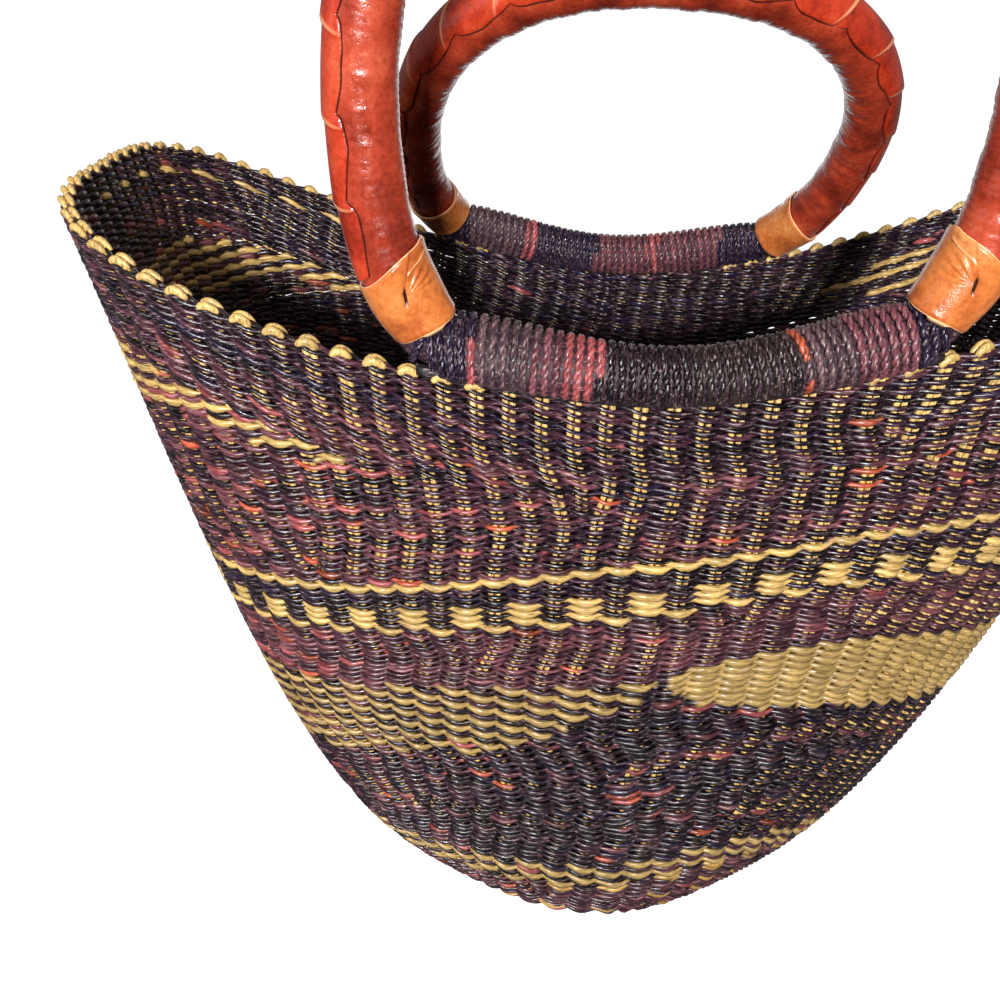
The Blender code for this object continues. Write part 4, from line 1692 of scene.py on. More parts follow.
@dataclass(frozen=True)
class CordShape:
    """The cord that is wound on a roll, and the bundle under it.

    Args:
        turns: How often it winds round.
        points_per_turn: Rings of a ply for each winding.
        radius: Distance of the cord's middle from the roll's.
        ply_radius: Half the thickness of one of its two plies.
        ply_offset: Distance of a ply from the cord's middle.
        twists: Turns of the plies about each other in a winding.
        clearance: Room between the cord's lowest point and the rim.
        ply_sides: Points round a ply's ring.
        core_radius: Radius of the bundle.
        core_rings: Rings of the bundle between its ends.
        core_sides: Points round its ring.
        filler: How much more the bundle reaches down.
        filler_fade: Length over which that fades at the span's ends.
        end_rings: Rings of the bundle's rounded ends.
    """
    turns: int = 50
    points_per_turn: int = 60
    radius: float = 0.00865
    ply_radius: float = 0.00088
    ply_offset: float = 0.00072
    twists: float = 8.5
    clearance: float = 0.0002
    ply_sides: int = 5
    core_radius: float = 0.0077
    core_rings: int = 71
    core_sides: int = 20
    filler: float = 0.0009
    filler_fade: float = 0.012
    end_rings: int = 8


class Roll:
    """A straw roll on the rim, wound with two-ply cord."""

    FAN_RADIUS = 0.0065
    FAN = math.radians(42)
    # Half the length over which a turn's reach down to the rim fades at the span's ends
    HALF_FADE = 0.004
    BORDER_RINGS = 64
    BORDER_PAST = 0.005
    BORDER_LIFT = 0.0003
    BORDER_HALF = (0.0021, 0.0022)

    def __init__(self, form: BasketForm, name: str, side: int) -> None:
        """Keep the roll's place and measures.

        Args:
            form: The basket's form.
            name: "front" or "back".
            side: -1 in front, 1 at the back.
        """
        self.form, self.name, self.side = form, name, side
        self.shape, self.winding = RollShape(), CordShape()
        self.frame = self.shape.frame(form, side)
        self.half = self.shape.span / 2 + self.FAN_RADIUS * self.FAN

    def fanned(self, reach: Array) -> tuple[Array, Array, Array, Array]:
        """Middle line and its directions, at lengths from the roll's middle.

        Within the span it is the roll's own line. Past either end it bends up on an arc.

        Args:
            reach: Lengths from the middle, negative to the left.

        Returns:
            Points, directions along, across and up.
        """
        half = self.shape.span / 2
        inside = np.clip(reach, -half, half)
        step = 0.0004
        ahead, behind = self.shape.line(self.form, inside + step), self.shape.line(self.form, inside - step)
        sign = np.sign(reach)
        angle = np.maximum(np.abs(reach) - half, 0) / self.FAN_RADIUS
        flat = np.zeros_like(angle)
        arc = np.stack([np.cos(angle), flat, np.sin(angle) * sign], axis=1)
        tangent = np.where((angle > 0)[:, None], arc, unit(ahead - behind))
        bend = np.stack([sign * np.sin(angle), flat, 1 - np.cos(angle)], axis=1) * self.FAN_RADIUS
        across = unit(np.cross(tangent, [0, 1, 0]))
        return self.shape.line(self.form, inside) + bend, tangent, across, np.cross(tangent, across)

    def to_rim(self, middle: Array) -> Array:
        """Steps from the roll's middle to the rim's middle, in the roll's frame.

        Args:
            middle: Points on the roll's middle line.

        Returns:
            One step for each.
        """
        x = placed(middle, self.frame)[:, 0]
        y = self.side * self.form.edge_width(x)
        rim = np.stack([x, y, self.form.rim_height(x, y)], axis=1)
        return placed(rim, self.frame.inverted()) - middle

    def reach_down(self, middle: Array) -> Array:
        """How far a turn's lowest point has to move so that it lies on the rim, all along the span.

        Args:
            middle: Points on the roll's middle line.

        Returns:
            Steps across and down, which fade out at the span's ends.
        """
        step = self.to_rim(middle)
        left = self.shape.span / 2 + self.HALF_FADE - np.abs(middle[:, 0])
        inside = smooth_step(left / (2 * self.HALF_FADE))
        down = np.minimum(step[:, 2] + self.winding.radius + self.winding.clearance, 0)
        return np.stack([np.zeros(len(step)), step[:, 1], down], axis=1) * inside[:, None]

    def border(self) -> Rings:
        """The braid that closes the rim under the roll.

        Returns:
            Its rings, in the roll's frame.
        """
        half = self.shape.span / 2 + self.BORDER_PAST
        middle = self.shape.line(self.form, np.linspace(-half, half, self.BORDER_RINGS))
        centres = middle + self.to_rim(middle) + np.array([0.0, 0.0, self.BORDER_LIFT])
        return Rings.one(centres, np.array([0.0, self.BORDER_HALF[0], 0.0]),
                         np.array([0.0, 0.0, self.BORDER_HALF[1]]), Straw.BLACK.value)

    def wrap(self, reach: Array, turn: Array) -> Array:
        """Colours along the cord: stretches of dyed straw from the basket's left to its right.

        Args:
            reach: Lengths from the roll's middle.
            turn: Angles wound so far.

        Returns:
            Colours in linear light.
        """
        wraps = FRONT_WRAP if self.side < 0 else BACK_WRAP
        place = (-self.side * reach + self.half) / (2 * self.half)
        starts = [start for start, _ in wraps]
        chosen = np.searchsorted(starts, place + 0.006 * ripple(3, turn, 9.0), "right") - 1
        return np.array([straw.value for _, straw in wraps])[np.clip(chosen, 0, len(wraps) - 1)]

    def cord(self) -> Rings:
        """The wound cord: two plies twisted about a line that winds round the roll.

        The line's turn grows evenly, and each ply lies off it by the ply offset, turned by the
        twist.

        Returns:
            Rings of both plies, in the roll's frame.
        """
        winding = self.winding
        count = winding.turns * winding.points_per_turn + 1
        share = np.linspace(0, 1, count)
        reach = -self.half + 2 * self.half * share
        turn = share * winding.turns * TAU
        middle, _, across, up = self.fanned(reach)
        radial = across * np.cos(turn)[:, None] + up * np.sin(turn)[:, None]
        uneven = 1 + 0.02 * ripple(Seed.WINDING + self.side, share * winding.turns, 3.7)
        lowered = (1 - radial[:, 2:]) / 2
        line = middle + radial * (winding.radius * uneven)[:, None] + self.reach_down(middle) * lowered
        aside = unit(np.cross(unit(np.gradient(line, axis=0)), radial))
        colours = self.wrap(reach, turn)
        parts = []
        for ply in (0, 1):
            angle = turn * winding.twists + ply * math.pi
            offset = radial * (np.cos(angle) * 0.8)[:, None] + aside * np.sin(angle)[:, None]
            centres = line + offset * winding.ply_offset
            rng = np.random.default_rng(Seed.PLY + ply + self.side)
            tone = rng.random(count // 40 + 2)[np.arange(count) // 40]
            heading = unit(np.gradient(centres, axis=0))
            out = unit(radial - heading * np.einsum("ij,ij->i", radial, heading)[:, None])
            fat = winding.ply_radius * (1 + 0.08 * ripple(Seed.GIRTH + ply, turn, 5.0))
            shade = np.clip(colours * (0.65 + 0.8 * tone)[:, None], 0, 1)
            broad = np.cross(heading, out) * (fat * 1.08)[:, None]
            parts.append(Rings.one(centres, out * fat[:, None], broad, shade))
        return Rings.joined(parts)

    def core(self) -> Rings:
        """The straw bundle under the cord, reaching down to the rim, with rounded ends, and the border.

        Returns:
            Rings of both, in the roll's frame.
        """
        winding = self.winding
        radius, extra = winding.core_radius, winding.end_rings
        middle, tangent, across, up = self.fanned(self.half * np.linspace(-1, 1, winding.core_rings))
        close = np.linspace(math.pi / 2, 0.15, extra)
        ends = [middle[index] + tangent[index] * sign * radius * np.cos(close)[:, None]
                for sign, index in ((-1, 0), (1, -1))]
        hang = self.reach_down(middle)
        points = np.concatenate([ends[0][::-1], middle + hang / 2, ends[1]])
        end_radius = radius * np.sin(close)
        radii = np.concatenate([end_radius[::-1], np.full(len(middle), radius), end_radius])[:, None]
        first, second = (np.pad(side, ((extra, extra), (0, 0)), mode="edge") * radii for side in (across, up))
        inside = self.shape.span / 2 - np.abs(middle[:, 0])
        filler = winding.filler * smooth_step(inside / winding.filler_fade)
        span = slice(extra, -extra)
        first[span] -= hang / 2
        first[span, 2] += filler
        points[span, 2] -= filler
        bundle = Rings.one(points, first, second, Straw.PURPLE.value)
        return Rings.joined([bundle, self.border()])

    def carried(self, rings: Rings) -> Rings:
        """Rings carried from the roll's frame to the row frame."""
        return replace(rings, centres=placed(rings.centres, self.frame),
                       first=turned(rings.first, self.frame), second=turned(rings.second, self.frame))

    def build(self) -> None:
        """Make the roll's bundle and cord."""
        item = tube_object(f"{self.name}_roll_bundle", self.carried(self.core()), self.winding.core_sides)
        finish_piece(item, BUNDLE_STRAW.build(), "basket", f"{self.name}_roll_core")
        item = tube_object(f"{self.name}_wound_cord", self.carried(self.cord()), self.winding.ply_sides)
        finish_piece(item, CORD_STRAW.build(), "basket", f"{self.name}_roll_cord")


# Handles

@dataclass(frozen=True)
class ArchShape:
    """Measures of a handle, as in the CAD part.

    Args:
        half_width: Half its width at its widest, to the middle of its thickness.
        upper_height: Height of its crown over its widest place.
        exponent: Roundness of the arch, 2 for an ellipse.
        core_diameter: Thickness of the bundle inside.
        core_inset: How far over the cuffs' lower edge it ends.
        core_rings: Rings of the bundle.
        core_sides: Points round its ring.
        leather: Thickness of the leather.
        cuff_start: Distance of the cuffs' lower edge from the foot.
        cuff_length: Their length.
        leather_under_cuff: Length of the leather that they cover.
        tab_length: Usual length of a tab of the seam.
        drawn_in: How much thinner the handle is at its feet.
        drawn_length: Length over which it draws in.
    """
    half_width: float = 0.1017
    upper_height: float = 0.1077
    exponent: float = 2.28
    core_diameter: float = 0.0186
    core_inset: float = 0.004
    core_rings: int = 81
    core_sides: int = 20
    leather: float = 0.0014
    cuff_start: float = 0.0047
    cuff_length: float = 0.030
    leather_under_cuff: float = 0.019
    tab_length: float = 0.025
    drawn_in: float = 0.0017
    drawn_length: float = 0.026

    def line(self, span: float) -> Array:
        """Middle of the handle from its left foot over the crown to its right foot.

        It is a superellipse: half axes times powered cosine and sine, cut off at its feet.

        Args:
            span: Distance between the feet.

        Returns:
            Points in the handle's frame.
        """
        foot = (span / 2) / self.half_width
        drop = self.upper_height * (1 - foot ** self.exponent) ** (1 / self.exponent)
        start = math.asin((drop / self.upper_height) ** (self.exponent / 2))
        turn = np.linspace(math.pi + start, -start, 900)
        x = self.half_width * signed_power(np.cos(turn), 2 / self.exponent)
        z = drop + self.upper_height * signed_power(np.sin(turn), 2 / self.exponent)
        return np.stack([x, np.zeros(len(turn)), z], axis=1)


@dataclass(frozen=True)
class SleeveShape:
    """Unevenness of the leather cover.

    Args:
        rows: Rings of points along it.
        columns: Points round it.
        lining_step: Rows of its outer skin for each row of its inner skin.
        wavelengths: Lengths of its lumps, its ovals and its dimples, in millimetres.
        lumps: Height of its slow waves.
        folds: Height of the cross folds inside the bends.
        dimples: Height of its dimples.
        creases: Height of its finest creases.
    """
    rows: int = 640
    columns: int = 84
    lining_step: int = 16
    wavelengths: tuple[float, float, float] = (41.0, 23.0, 9.0)
    lumps: float = 0.00028
    folds: float = 0.00013
    dimples: float = 0.00008
    creases: float = 0.00006


@dataclass(frozen=True)
class SeamShape:
    """The laced seam's tabs.

    Args:
        rows: Rows of points for each tab.
        columns: Points across its upper skin.
        gap: Distance of its ends from the cuffs.
        half_turn: Half its width where a tab starts, as a turn round the arch.
        leaf: What a tab's leaf shape adds to that.
        waver: What its unevenness adds to that.
        slant: How far the cuts slant, as a share of a tab.
        cut_place: Place of a tab's pale cut edge, and how far it fades.
        painted_shadow_edge: Share of the half width beyond which a tab is painted dark, a painted shadow line
            along its edges.
        lift: Height of a tab where it comes out, and what is added towards its cut end.
        over: How far its edges stand over the sleeve.
        depth: How deep its lower skin lies in the sleeve.
        taper: Length over which it narrows at the cuffs.
    """
    rows: int = 56
    columns: int = 29
    gap: float = 0.0004
    half_turn: float = 0.90
    leaf: float = 0.32
    waver: float = 0.04
    slant: float = 0.26
    cut_place: tuple[float, float] = (0.96, 0.035)
    painted_shadow_edge: float = 0.93
    lift: tuple[float, float] = (0.0008, 0.0008)
    over: float = 0.0001
    depth: float = 0.0005
    taper: float = 0.002


@dataclass(frozen=True)
class CuffShape:
    """A cuff's skin and what is pressed into it.

    Places on it are shares of its height, and turns from the slit towards the arch's inner side.

    Args:
        rows: Rows of points from its lower to its upper edge.
        columns: Points round it.
        lining_rows: Rows of its inner skin.
        slit_bearing: Turn of the slit, back from the arch's outward side.
        foot_gap: Least distance of its lower edge from the arch's cuff start.
        foot_waves: Waves of that edge: one round the cuff, and one three times round.
        top_fall: How much lower its upper edge is on the outward side.
        top_waves: Waves of the upper edge.
        tip: Height of the lap's tip over the upper edge.
        tip_place: Turn of the tip, and half its width.
        outer_fall: How much lower the upper edge is inside the back handle's left foot.
        outside: Distance of the outer skin from the sleeve.
        inside: Distance of the inner skin.
        uneven: Height of its slow waves.
        slit: Depth of the slit.
        slit_place: Its middle, and half its length.
        slit_lean: How far its turn grows over the cuff's whole height.
        slit_width: Half its width, as a turn.
        dish: Depth of the hollow about it.
        lap: Depth of the step beside the lap.
        lap_line: Turn of that step low down, how fast it grows, and from what height.
        lap_fall: Turn over which the step falls, and over which it comes back.
        lap_start: Where the step starts, and over how much of the height it deepens.
        ridge: Height of the lap's cut edge.
        ridge_line: Where that edge starts, and how far it climbs.
        ridge_turns: Turn at which it starts to climb, and over which it does.
        ridge_width: Half its width.
        wrinkle: Height of the wrinkles that run out from the slit.
        wrinkle_count: How many would go round.
        hub: Turn and height that they run out from.
        usual_height: A cuff's usual height, in metres, for distances from the hub.
        hollow_reach: Distance from the hub over which the hollow and the wrinkles fade.
        wrinkle_middle: Distance from the hub at which they are highest.
        fan: Bearing of the middle of their fan, and half its spread.
        flare: How far its edges stand out.
        flare_reach: Share of the height over which they do.
        thin: How much thinner its edges are.
        thin_reach: Share of the height over which they are.
        worn_edge: Share of the height over which its cut edges are pale.
        tongue: How far the inner skin reaches down under the slit.
        tongue_place: Turn of that tongue, and half its width.
    """
    rows: int = 100
    columns: int = 180
    lining_rows: int = 16
    slit_bearing: float = 1.74
    foot_gap: float = 0.0008
    foot_waves: tuple[float, float] = (0.0008, 0.0004)
    top_fall: float = 0.0045
    top_waves: float = 0.0005
    tip: float = 0.0014
    tip_place: tuple[float, float] = (1.3, 0.35)
    outer_fall: float = 0.0055
    outside: float = 0.0018
    inside: float = 0.0003
    uneven: float = 0.00025
    slit: float = 0.0009
    slit_place: tuple[float, float] = (0.574, 0.10)
    slit_lean: float = 0.68
    slit_width: float = 0.05
    dish: float = 0.0004
    lap: float = 0.0005
    lap_line: tuple[float, float, float] = (0.09, 1.45, 0.68)
    lap_fall: tuple[float, float] = (0.05, 0.5)
    lap_start: tuple[float, float] = (0.50, 0.16)
    ridge: float = 0.0004
    ridge_line: tuple[float, float] = (0.776, 0.087)
    ridge_turns: tuple[float, float] = (0.3, 0.77)
    ridge_width: float = 0.012
    wrinkle: float = 0.00030
    wrinkle_count: int = 17
    hub: tuple[float, float] = (0.05, 0.56)
    usual_height: float = 0.027
    hollow_reach: float = 0.0045
    wrinkle_middle: float = 0.006
    fan: tuple[float, float] = (0.3, 0.75)
    flare: float = 0.0006
    flare_reach: float = 0.05
    thin: float = 0.0008
    thin_reach: float = 0.03
    worn_edge: float = 0.010
    tongue: float = 0.0015
    tongue_place: tuple[float, float] = (0.15, 0.36)


class Handle:
    """A leather-covered arch with its laced seam and two tan cuffs."""

    def __init__(self, form: BasketForm, name: str, side: int, lean: float) -> None:
        """Keep the handle's place and measures.

        Args:
            form: The basket's form.
            name: "front" or "back".
            side: -1 in front, 1 at the back.
            lean: Angle from upright into the basket, in degrees.
        """
        self.name, self.side = name, side
        self.body = f"{name}_handle"
        self.shape, self.cover = ArchShape(), SleeveShape()
        self.lacing, self.leather = SeamShape(), CuffShape()
        roll = RollShape()
        self.frame = roll.frame(form, side) @ Matrix.Rotation(-math.radians(lean), 4, "X")
        self.points = self.shape.line(roll.span)
        steps = np.linalg.norm(np.diff(self.points, axis=0), axis=1)
        self.lengths = np.concatenate([[0.0], np.cumsum(steps)])
        self.length = float(self.lengths[-1])
        self.radius = self.shape.core_diameter / 2 + roll.gap + self.shape.leather
        self.seed = Seed.FRONT_LEATHER if side < 0 else Seed.BACK_LEATHER

    def at(self, distances: Array) -> tuple[Array, Array, Array]:
        """Places on the arch, moved inwards where the handle draws in.

        Args:
            distances: Distances along it from its left foot.

        Returns:
            Middle points, directions along the arch and directions to its outward side.
        """
        step = 0.002
        tangent = unit(self.spot(distances + step) - self.spot(distances - step))
        outward = np.cross(tangent, [0, 1, 0])
        return self.spot(distances) - outward * self.slim(distances)[..., None], tangent, outward

    def spot(self, distances: Array) -> Array:
        """Points of the arch's middle line, at distances from its left foot."""
        return np.stack([np.interp(distances, self.lengths, self.points[:, k]) for k in range(3)], axis=-1)

    def slim(self, distances: Array) -> Array:
        """How much thinner the handle is near its feet: it draws in on the outward side alone."""
        near = np.minimum(distances, self.length - distances)
        return self.shape.drawn_in * np.clip(1 - near / self.shape.drawn_length, 0, 1) ** 1.5

    def skin(self, distances: Array, radius: Array, turns: Array) -> Array:
        """Points round the arch, in its own frame.

        A point is the arch's middle plus the radius times the cosine of the turn on the outward
        side and times the sine across the arch.

        Args:
            distances: Distances along the arch.
            radius: Radius before the handle draws in.
            turns: Turns round the arch from its outward side.

        Returns:
            Rows of points.
        """
        middle, _, outward = self.at(distances)
        radius = radius - self.slim(distances)
        return (middle + outward * (np.cos(turns) * radius)[..., None]
                + np.array([0, 1.0, 0]) * (np.sin(turns) * radius)[..., None])

    def carried(self, points: Array) -> Array:
        """Rows of points carried from the handle's frame to the row frame."""
        return placed(points.reshape(-1, 3), self.frame).reshape(points.shape)

    def shell(self, outside: tuple[Array, Array], inside: tuple[Array, Array],
              turns: Array) -> Array:
        """Points of a closed sleeve: its outer skin from start to end, then its inner skin back.

        Args:
            outside: Distance along the arch and radius of the outer skin's points, rows by columns.
            inside: The same of the inner skin's points.
            turns: Turn round the arch of each column.

        Returns:
            Rows of points, in the row frame.
        """
        back = (inside[0][::-1], inside[1][::-1])
        return self.carried(np.concatenate([self.skin(*outside, turns), self.skin(*back, turns)]))

    def sleeve(self, material: bpy.types.Material) -> None:
        """The leather cover: round, a little uneven, with cross creases inside the bends.

        Its radius is the handle's plus lumps, folds, dimples and fine creases, which are sines
        of the distance along the arch and of the turn round it. The folds grow with the bend.

        Args:
            material: Its leather.
        """
        shape = self.cover
        start = self.shape.cuff_start + self.shape.cuff_length - self.shape.leather_under_cuff
        distances = np.linspace(start, self.length - start, shape.rows)[:, None] * np.ones(shape.columns)
        turns = np.arange(shape.columns) / shape.columns * TAU
        _, tangent, _ = self.at(distances[:, 0])
        bend = np.linalg.norm(np.gradient(tangent, distances[:, 0], axis=0), axis=1)
        bend = hump_mean(bend, 25, "edge")
        tight = np.clip(bend / bend.max(), 0, 1)[:, None]
        inside = np.clip(-np.cos(turns), 0, 1)[None, :] ** 1.2
        place = distances * 1000
        lumps, waves, dimples = (ripple(self.seed + layer, place[:, :1], wave)
                                 for layer, wave in enumerate(shape.wavelengths))
        lumps = lumps * np.cos(turns - 0.8) + waves * np.sin(turns * 2)
        dimples = dimples * (1 + np.sin(turns * 3 + 1))
        folds = np.sin(place * 2.6 + 1.4 * np.sin(turns * 2 + place * 0.09) + 2 * np.sin(place * 0.21))
        creases = np.sin(place * 5.3 + 1.2 * np.sin(turns * 3 + place * 0.4))
        creases = creases * ripple(self.seed + 3, place, 17.0)
        outer = self.radius + shape.lumps * lumps + shape.folds * folds * inside * tight ** 0.7
        outer = outer + shape.dimples * dimples + shape.creases * creases
        lining = distances[::shape.lining_step]
        inner = np.full_like(lining, self.radius - self.shape.leather)
        points = self.shell((distances, outer), (lining, inner), turns)
        self.sheet("leather_cover", points, np.zeros(points.shape[:2]), material, "handle_leather")

    def sheet(self, name: str, points: Array, cut_and_shade: Array, material: bpy.types.Material,
              node: str) -> None:
        """Close rows of points both ways into one piece and finish it.

        Args:
            name: Name of the piece, without the handle's.
            points: Rows of points.
            cut_and_shade: Amount of pale cut edge at each point above zero, and of painted shade below zero.
            material: The piece's material.
            node: CAD node that it stands for, without the handle's name.
        """
        grid = (*points.shape[:2], True, True)
        item = mesh_object(f"{self.name}_{name}", points.reshape(-1, 3), grid_quads(*grid),
                           bake_map=grid_map(*grid), cut_and_shade=cut_and_shade.reshape(-1))
        finish_piece(item, material, self.body, f"{self.name}_{node}")

    def cuff_top(self, turns: Array) -> Array:
        """Distance of the cuffs' upper edge from the foot: lower on the outward side."""
        end = self.shape.cuff_start + self.shape.cuff_length
        return end - self.leather.top_fall * (1 + np.cos(turns)) + self.leather.top_waves * np.cos(turns * 3)

    def seam(self, material: bpy.types.Material) -> None:
        """The laced seam: leaf-shaped tabs that lap over one another along the arch.

        A tab's place runs from 0 where it comes out from under its neighbour to 1 at its own
        cut end. Its half width and its lift are curves of that place, and the cut slants
        across the strip.

        Args:
            material: Its leather.
        """
        shape = self.lacing
        lowest = self.cuff_top(np.zeros(1))
        start = float(lowest[0]) + shape.gap
        length = self.length - 2 * start
        tabs = max(1, round(length / self.shape.tab_length))
        across = np.linspace(-1, 1, shape.columns)[None, :]
        distance = np.linspace(start, start + length, shape.rows * tabs)[:, None]
        share = (distance - start) / length
        slanted = share * tabs - shape.slant * across * (1 - np.abs(2 * share - 1) ** 8)
        place, width_place = 1 - slanted % 1.0, 1 - share * tabs % 1.0
        leaf = np.sin(width_place ** 0.75 * math.pi * 0.97) ** 0.7
        half = shape.half_turn + shape.leaf * leaf - 0.06 * width_place
        half = half + shape.waver * ripple(self.seed + 4, distance * 1000, 33.0)
        ends = smooth_step(np.minimum(distance - start, start + length - distance) / shape.taper)
        angle = across * half * ends
        edge = 1 - 0.3 * across ** 2 - 0.5 * np.abs(across) ** 12
        lift = (shape.lift[0] + shape.lift[1] * place ** 2) * edge * (0.2 + 0.8 * ends)
        cut = bell(place, *shape.cut_place) * (0.55 + 0.45 * np.cos(across * 2))
        # Painted shadow: a dark line along both edges of each tab.
        cut = np.where(np.abs(across) > shape.painted_shadow_edge, -1.0, cut)
        distance = distance + (self.cuff_top(angle) - lowest) * (1 - 2 * share)
        top = self.skin(distance, self.radius + shape.over + lift, angle)
        under = self.skin(distance, np.full_like(lift, self.radius - shape.depth), angle)
        ring = self.carried(np.concatenate([top, under[:, ::-1]], axis=1))
        rows, columns = ring.shape[:2]
        grid = (rows, columns, False, True)
        fan = np.arange(1, columns - 1)
        near = np.stack([np.zeros_like(fan), fan + 1, fan], axis=1)
        far = np.stack([np.zeros_like(fan), fan, fan + 1], axis=1) + (rows - 1) * columns
        cap_map = np.tile([[0.001, 0.001], [0.004, 0.001], [0.001, 0.004]], (2 * len(fan), 1))
        cut_and_shade = np.concatenate([cut, np.zeros_like(cut)], axis=1)
        item = mesh_object(f"{self.name}_laced_seam", ring.reshape(-1, 3), grid_quads(*grid),
                           np.concatenate([near, far]), cut_and_shade=cut_and_shade.reshape(-1),
                           bake_map=np.concatenate([grid_map(*grid), cap_map]))
        finish_piece(item, material, self.body, f"{self.name}_handle_lacing")

    def cuff_relief(self, share: Array, inward: Array) -> tuple[Array, Array]:
        """What stands out of a cuff's outer skin, and its pale cut edges and painted shade.

        The skin is sunk along the slit, about it and beside the lap above it, and raised along
        the lap's cut edge. Wrinkles are a cosine of the bearing from the slit, and fade with
        the distance from it.

        Args:
            share: Share of the cuff's height.
            inward: Turn from the slit towards the arch's inner side.

        Returns:
            Height over the even skin, and the cut-and-shade value: pale cut edges above zero, painted shade
            below it.
        """
        shape = self.leather
        slit_turn = shape.slit_lean * (share - shape.slit_place[0])
        slit = bell(share, *shape.slit_place, 4) * bell(inward, slit_turn, shape.slit_width)
        turn, growth, level = shape.lap_line
        past = inward - (turn + growth * np.clip(share - level, 0, 1))
        fall, back = shape.lap_fall
        lap = smooth_step(past / fall + 0.5) * np.exp(-np.clip(past, 0, None) / back)
        lap = lap * smooth_step((share - shape.lap_start[0]) / shape.lap_start[1])
        climbed = np.clip((inward - shape.ridge_turns[0]) / shape.ridge_turns[1], 0, 1.2) ** 0.6
        ridge_line = shape.ridge_line[0] + shape.ridge_line[1] * climbed
        ridge = bell(share, ridge_line, shape.ridge_width) * smooth_step((inward - 0.2) / 0.15)
        ridge = ridge * smooth_step((1.35 - inward) / 0.2)
        along, up = (inward - shape.hub[0]) * self.radius, (share - shape.hub[1]) * shape.usual_height
        bearing, away = np.arctan2(up, along), np.hypot(up, along)
        wrinkles = np.cos(shape.wrinkle_count * bearing + 1.5 * np.sin(3 * bearing))
        wrinkles = wrinkles * bell(away, shape.wrinkle_middle, shape.hollow_reach)
        wrinkles = wrinkles * bell(bearing, *shape.fan, 4)
        dish = bell(away, 0.0, shape.hollow_reach)
        relief = -shape.slit * slit - shape.dish * dish - shape.lap * lap
        relief = relief + shape.ridge * ridge + shape.wrinkle * wrinkles
        cut_and_shade = bell(share, 0.0, shape.worn_edge) + bell(share, 1.0, shape.worn_edge)
        # Pale cut edge along the lap's ridge; the slit is darkened as painted shade.
        cut_and_shade = cut_and_shade + 0.7 * ridge - 1.4 * slit
        # Painted shade: a dark band beside the lap's step.
        cut_and_shade = cut_and_shade - 0.25 * bell(past, 0.0, 0.03) * smooth_step((share - 0.6) / 0.1)
        return relief, cut_and_shade

    def cuff(self, right: bool, material: bpy.types.Material) -> None:
        """A tan cuff over one foot, gathered into a slit in front.

        Its edges are sines of the turn, and its radius is the handle's plus its own thickness,
        the relief, a flare at both edges and less the thinning there.

        Args:
            right: True for the foot on the arch's right.
            material: Its leather.
        """
        shape = self.leather
        turns = np.arange(shape.columns) / shape.columns * TAU
        share = np.linspace(0, 1, shape.rows)[:, None]
        inward = -np.angle(np.exp(1j * (turns + shape.slit_bearing)))
        waves = shape.foot_waves[0] * np.sin(turns + 1.0) + shape.foot_waves[1] * np.sin(turns * 3)
        low = self.shape.cuff_start + shape.foot_gap + waves
        high = self.cuff_top(turns) + shape.tip * bell(inward, *shape.tip_place)
        if self.side > 0 and right:
            high = high - shape.outer_fall * (1 - np.cos(turns))
        relief, cut_and_shade = self.cuff_relief(share, inward)
        outer = self.radius + shape.outside + shape.uneven * np.sin(turns * 2 + share * 5) + relief
        outer = outer + shape.flare * self.edges(share, shape.flare_reach, 1)
        outer = outer - shape.thin * self.edges(share, shape.thin_reach, 2)
        under_share = (1 - np.cos(np.linspace(0, math.pi, shape.lining_rows)))[:, None] / 2
        tongue = shape.tongue * bell(inward, *shape.tongue_place, 8) * (1 - under_share) ** 2
        inner = self.radius + shape.inside + shape.flare * self.edges(under_share, shape.flare_reach, 1)
        distances = low + (high - low) * share
        under = low + (high - low) * under_share - tongue
        if right:
            distances, under = self.length - distances, self.length - under
        points = self.shell((distances, outer), (under, inner * np.ones(shape.columns)), turns)
        lining_wear = np.zeros((shape.lining_rows, shape.columns))
        lining_wear[[0, -1]] = 1.0
        where = "right" if right == (self.side < 0) else "left"
        self.sheet(f"{where}_tan_cuff", points, np.concatenate([cut_and_shade, lining_wear]), material,
                   f"{where}_cuff")

    @staticmethod
    def edges(share: Array, width: float, power: int) -> Array:
        """Humps at both edges of a cuff, which fade by a power of the distance over a width."""
        return bell(share, 0.0, width, power) + bell(1 - share, 0.0, width, power)

    def bundle(self, material: bpy.types.Material) -> None:
        """The straw bundle inside the leather, rounded at both ends.

        Args:
            material: Its straw.
        """
        share = np.linspace(-1, 1, self.shape.core_rings)
        foot = self.shape.cuff_start + self.shape.core_inset
        distances = self.length / 2 + share * (self.length / 2 - foot)
        middle, _, outward = self.at(distances)
        radius = self.shape.core_diameter / 2 * np.clip(1 - np.abs(share) ** 120, 0.05, 1) ** 0.5
        radius = (radius - self.slim(distances))[:, None]
        rings = Rings.one(placed(middle, self.frame), turned(outward * radius, self.frame),
                          turned(np.array([0.0, 1.0, 0.0]) * radius, self.frame), Straw.HONEY.value)
        item = tube_object(f"{self.name}_handle_bundle", rings, self.shape.core_sides)
        finish_piece(item, material, self.body, f"{self.name}_handle_core")

    def build(self) -> None:
        """Make the handle's pieces."""
        self.sleeve(RUST_LEATHER.build())
        self.seam(RED_LEATHER.build())
        tan = TAN_LEATHER.build()
        for right in (False, True):
            self.cuff(right, tan)
        self.bundle(BUNDLE_STRAW.build())


def finish_piece(item: bpy.types.Object, material: bpy.types.Material, body: str,
                 node: str) -> None:
    """Give a piece its material, seat it on its body and hide the CAD node it stands for.

    Args:
        item: The piece.
        material: Its material.
        body: The CAD body that it rides on.
        node: CAD node that it stands for.
    """
    item.data.materials.append(material)
    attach(item, body)
    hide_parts(node)
    LOG.info("%s: %d faces on %s", item.name, len(item.data.polygons), body)


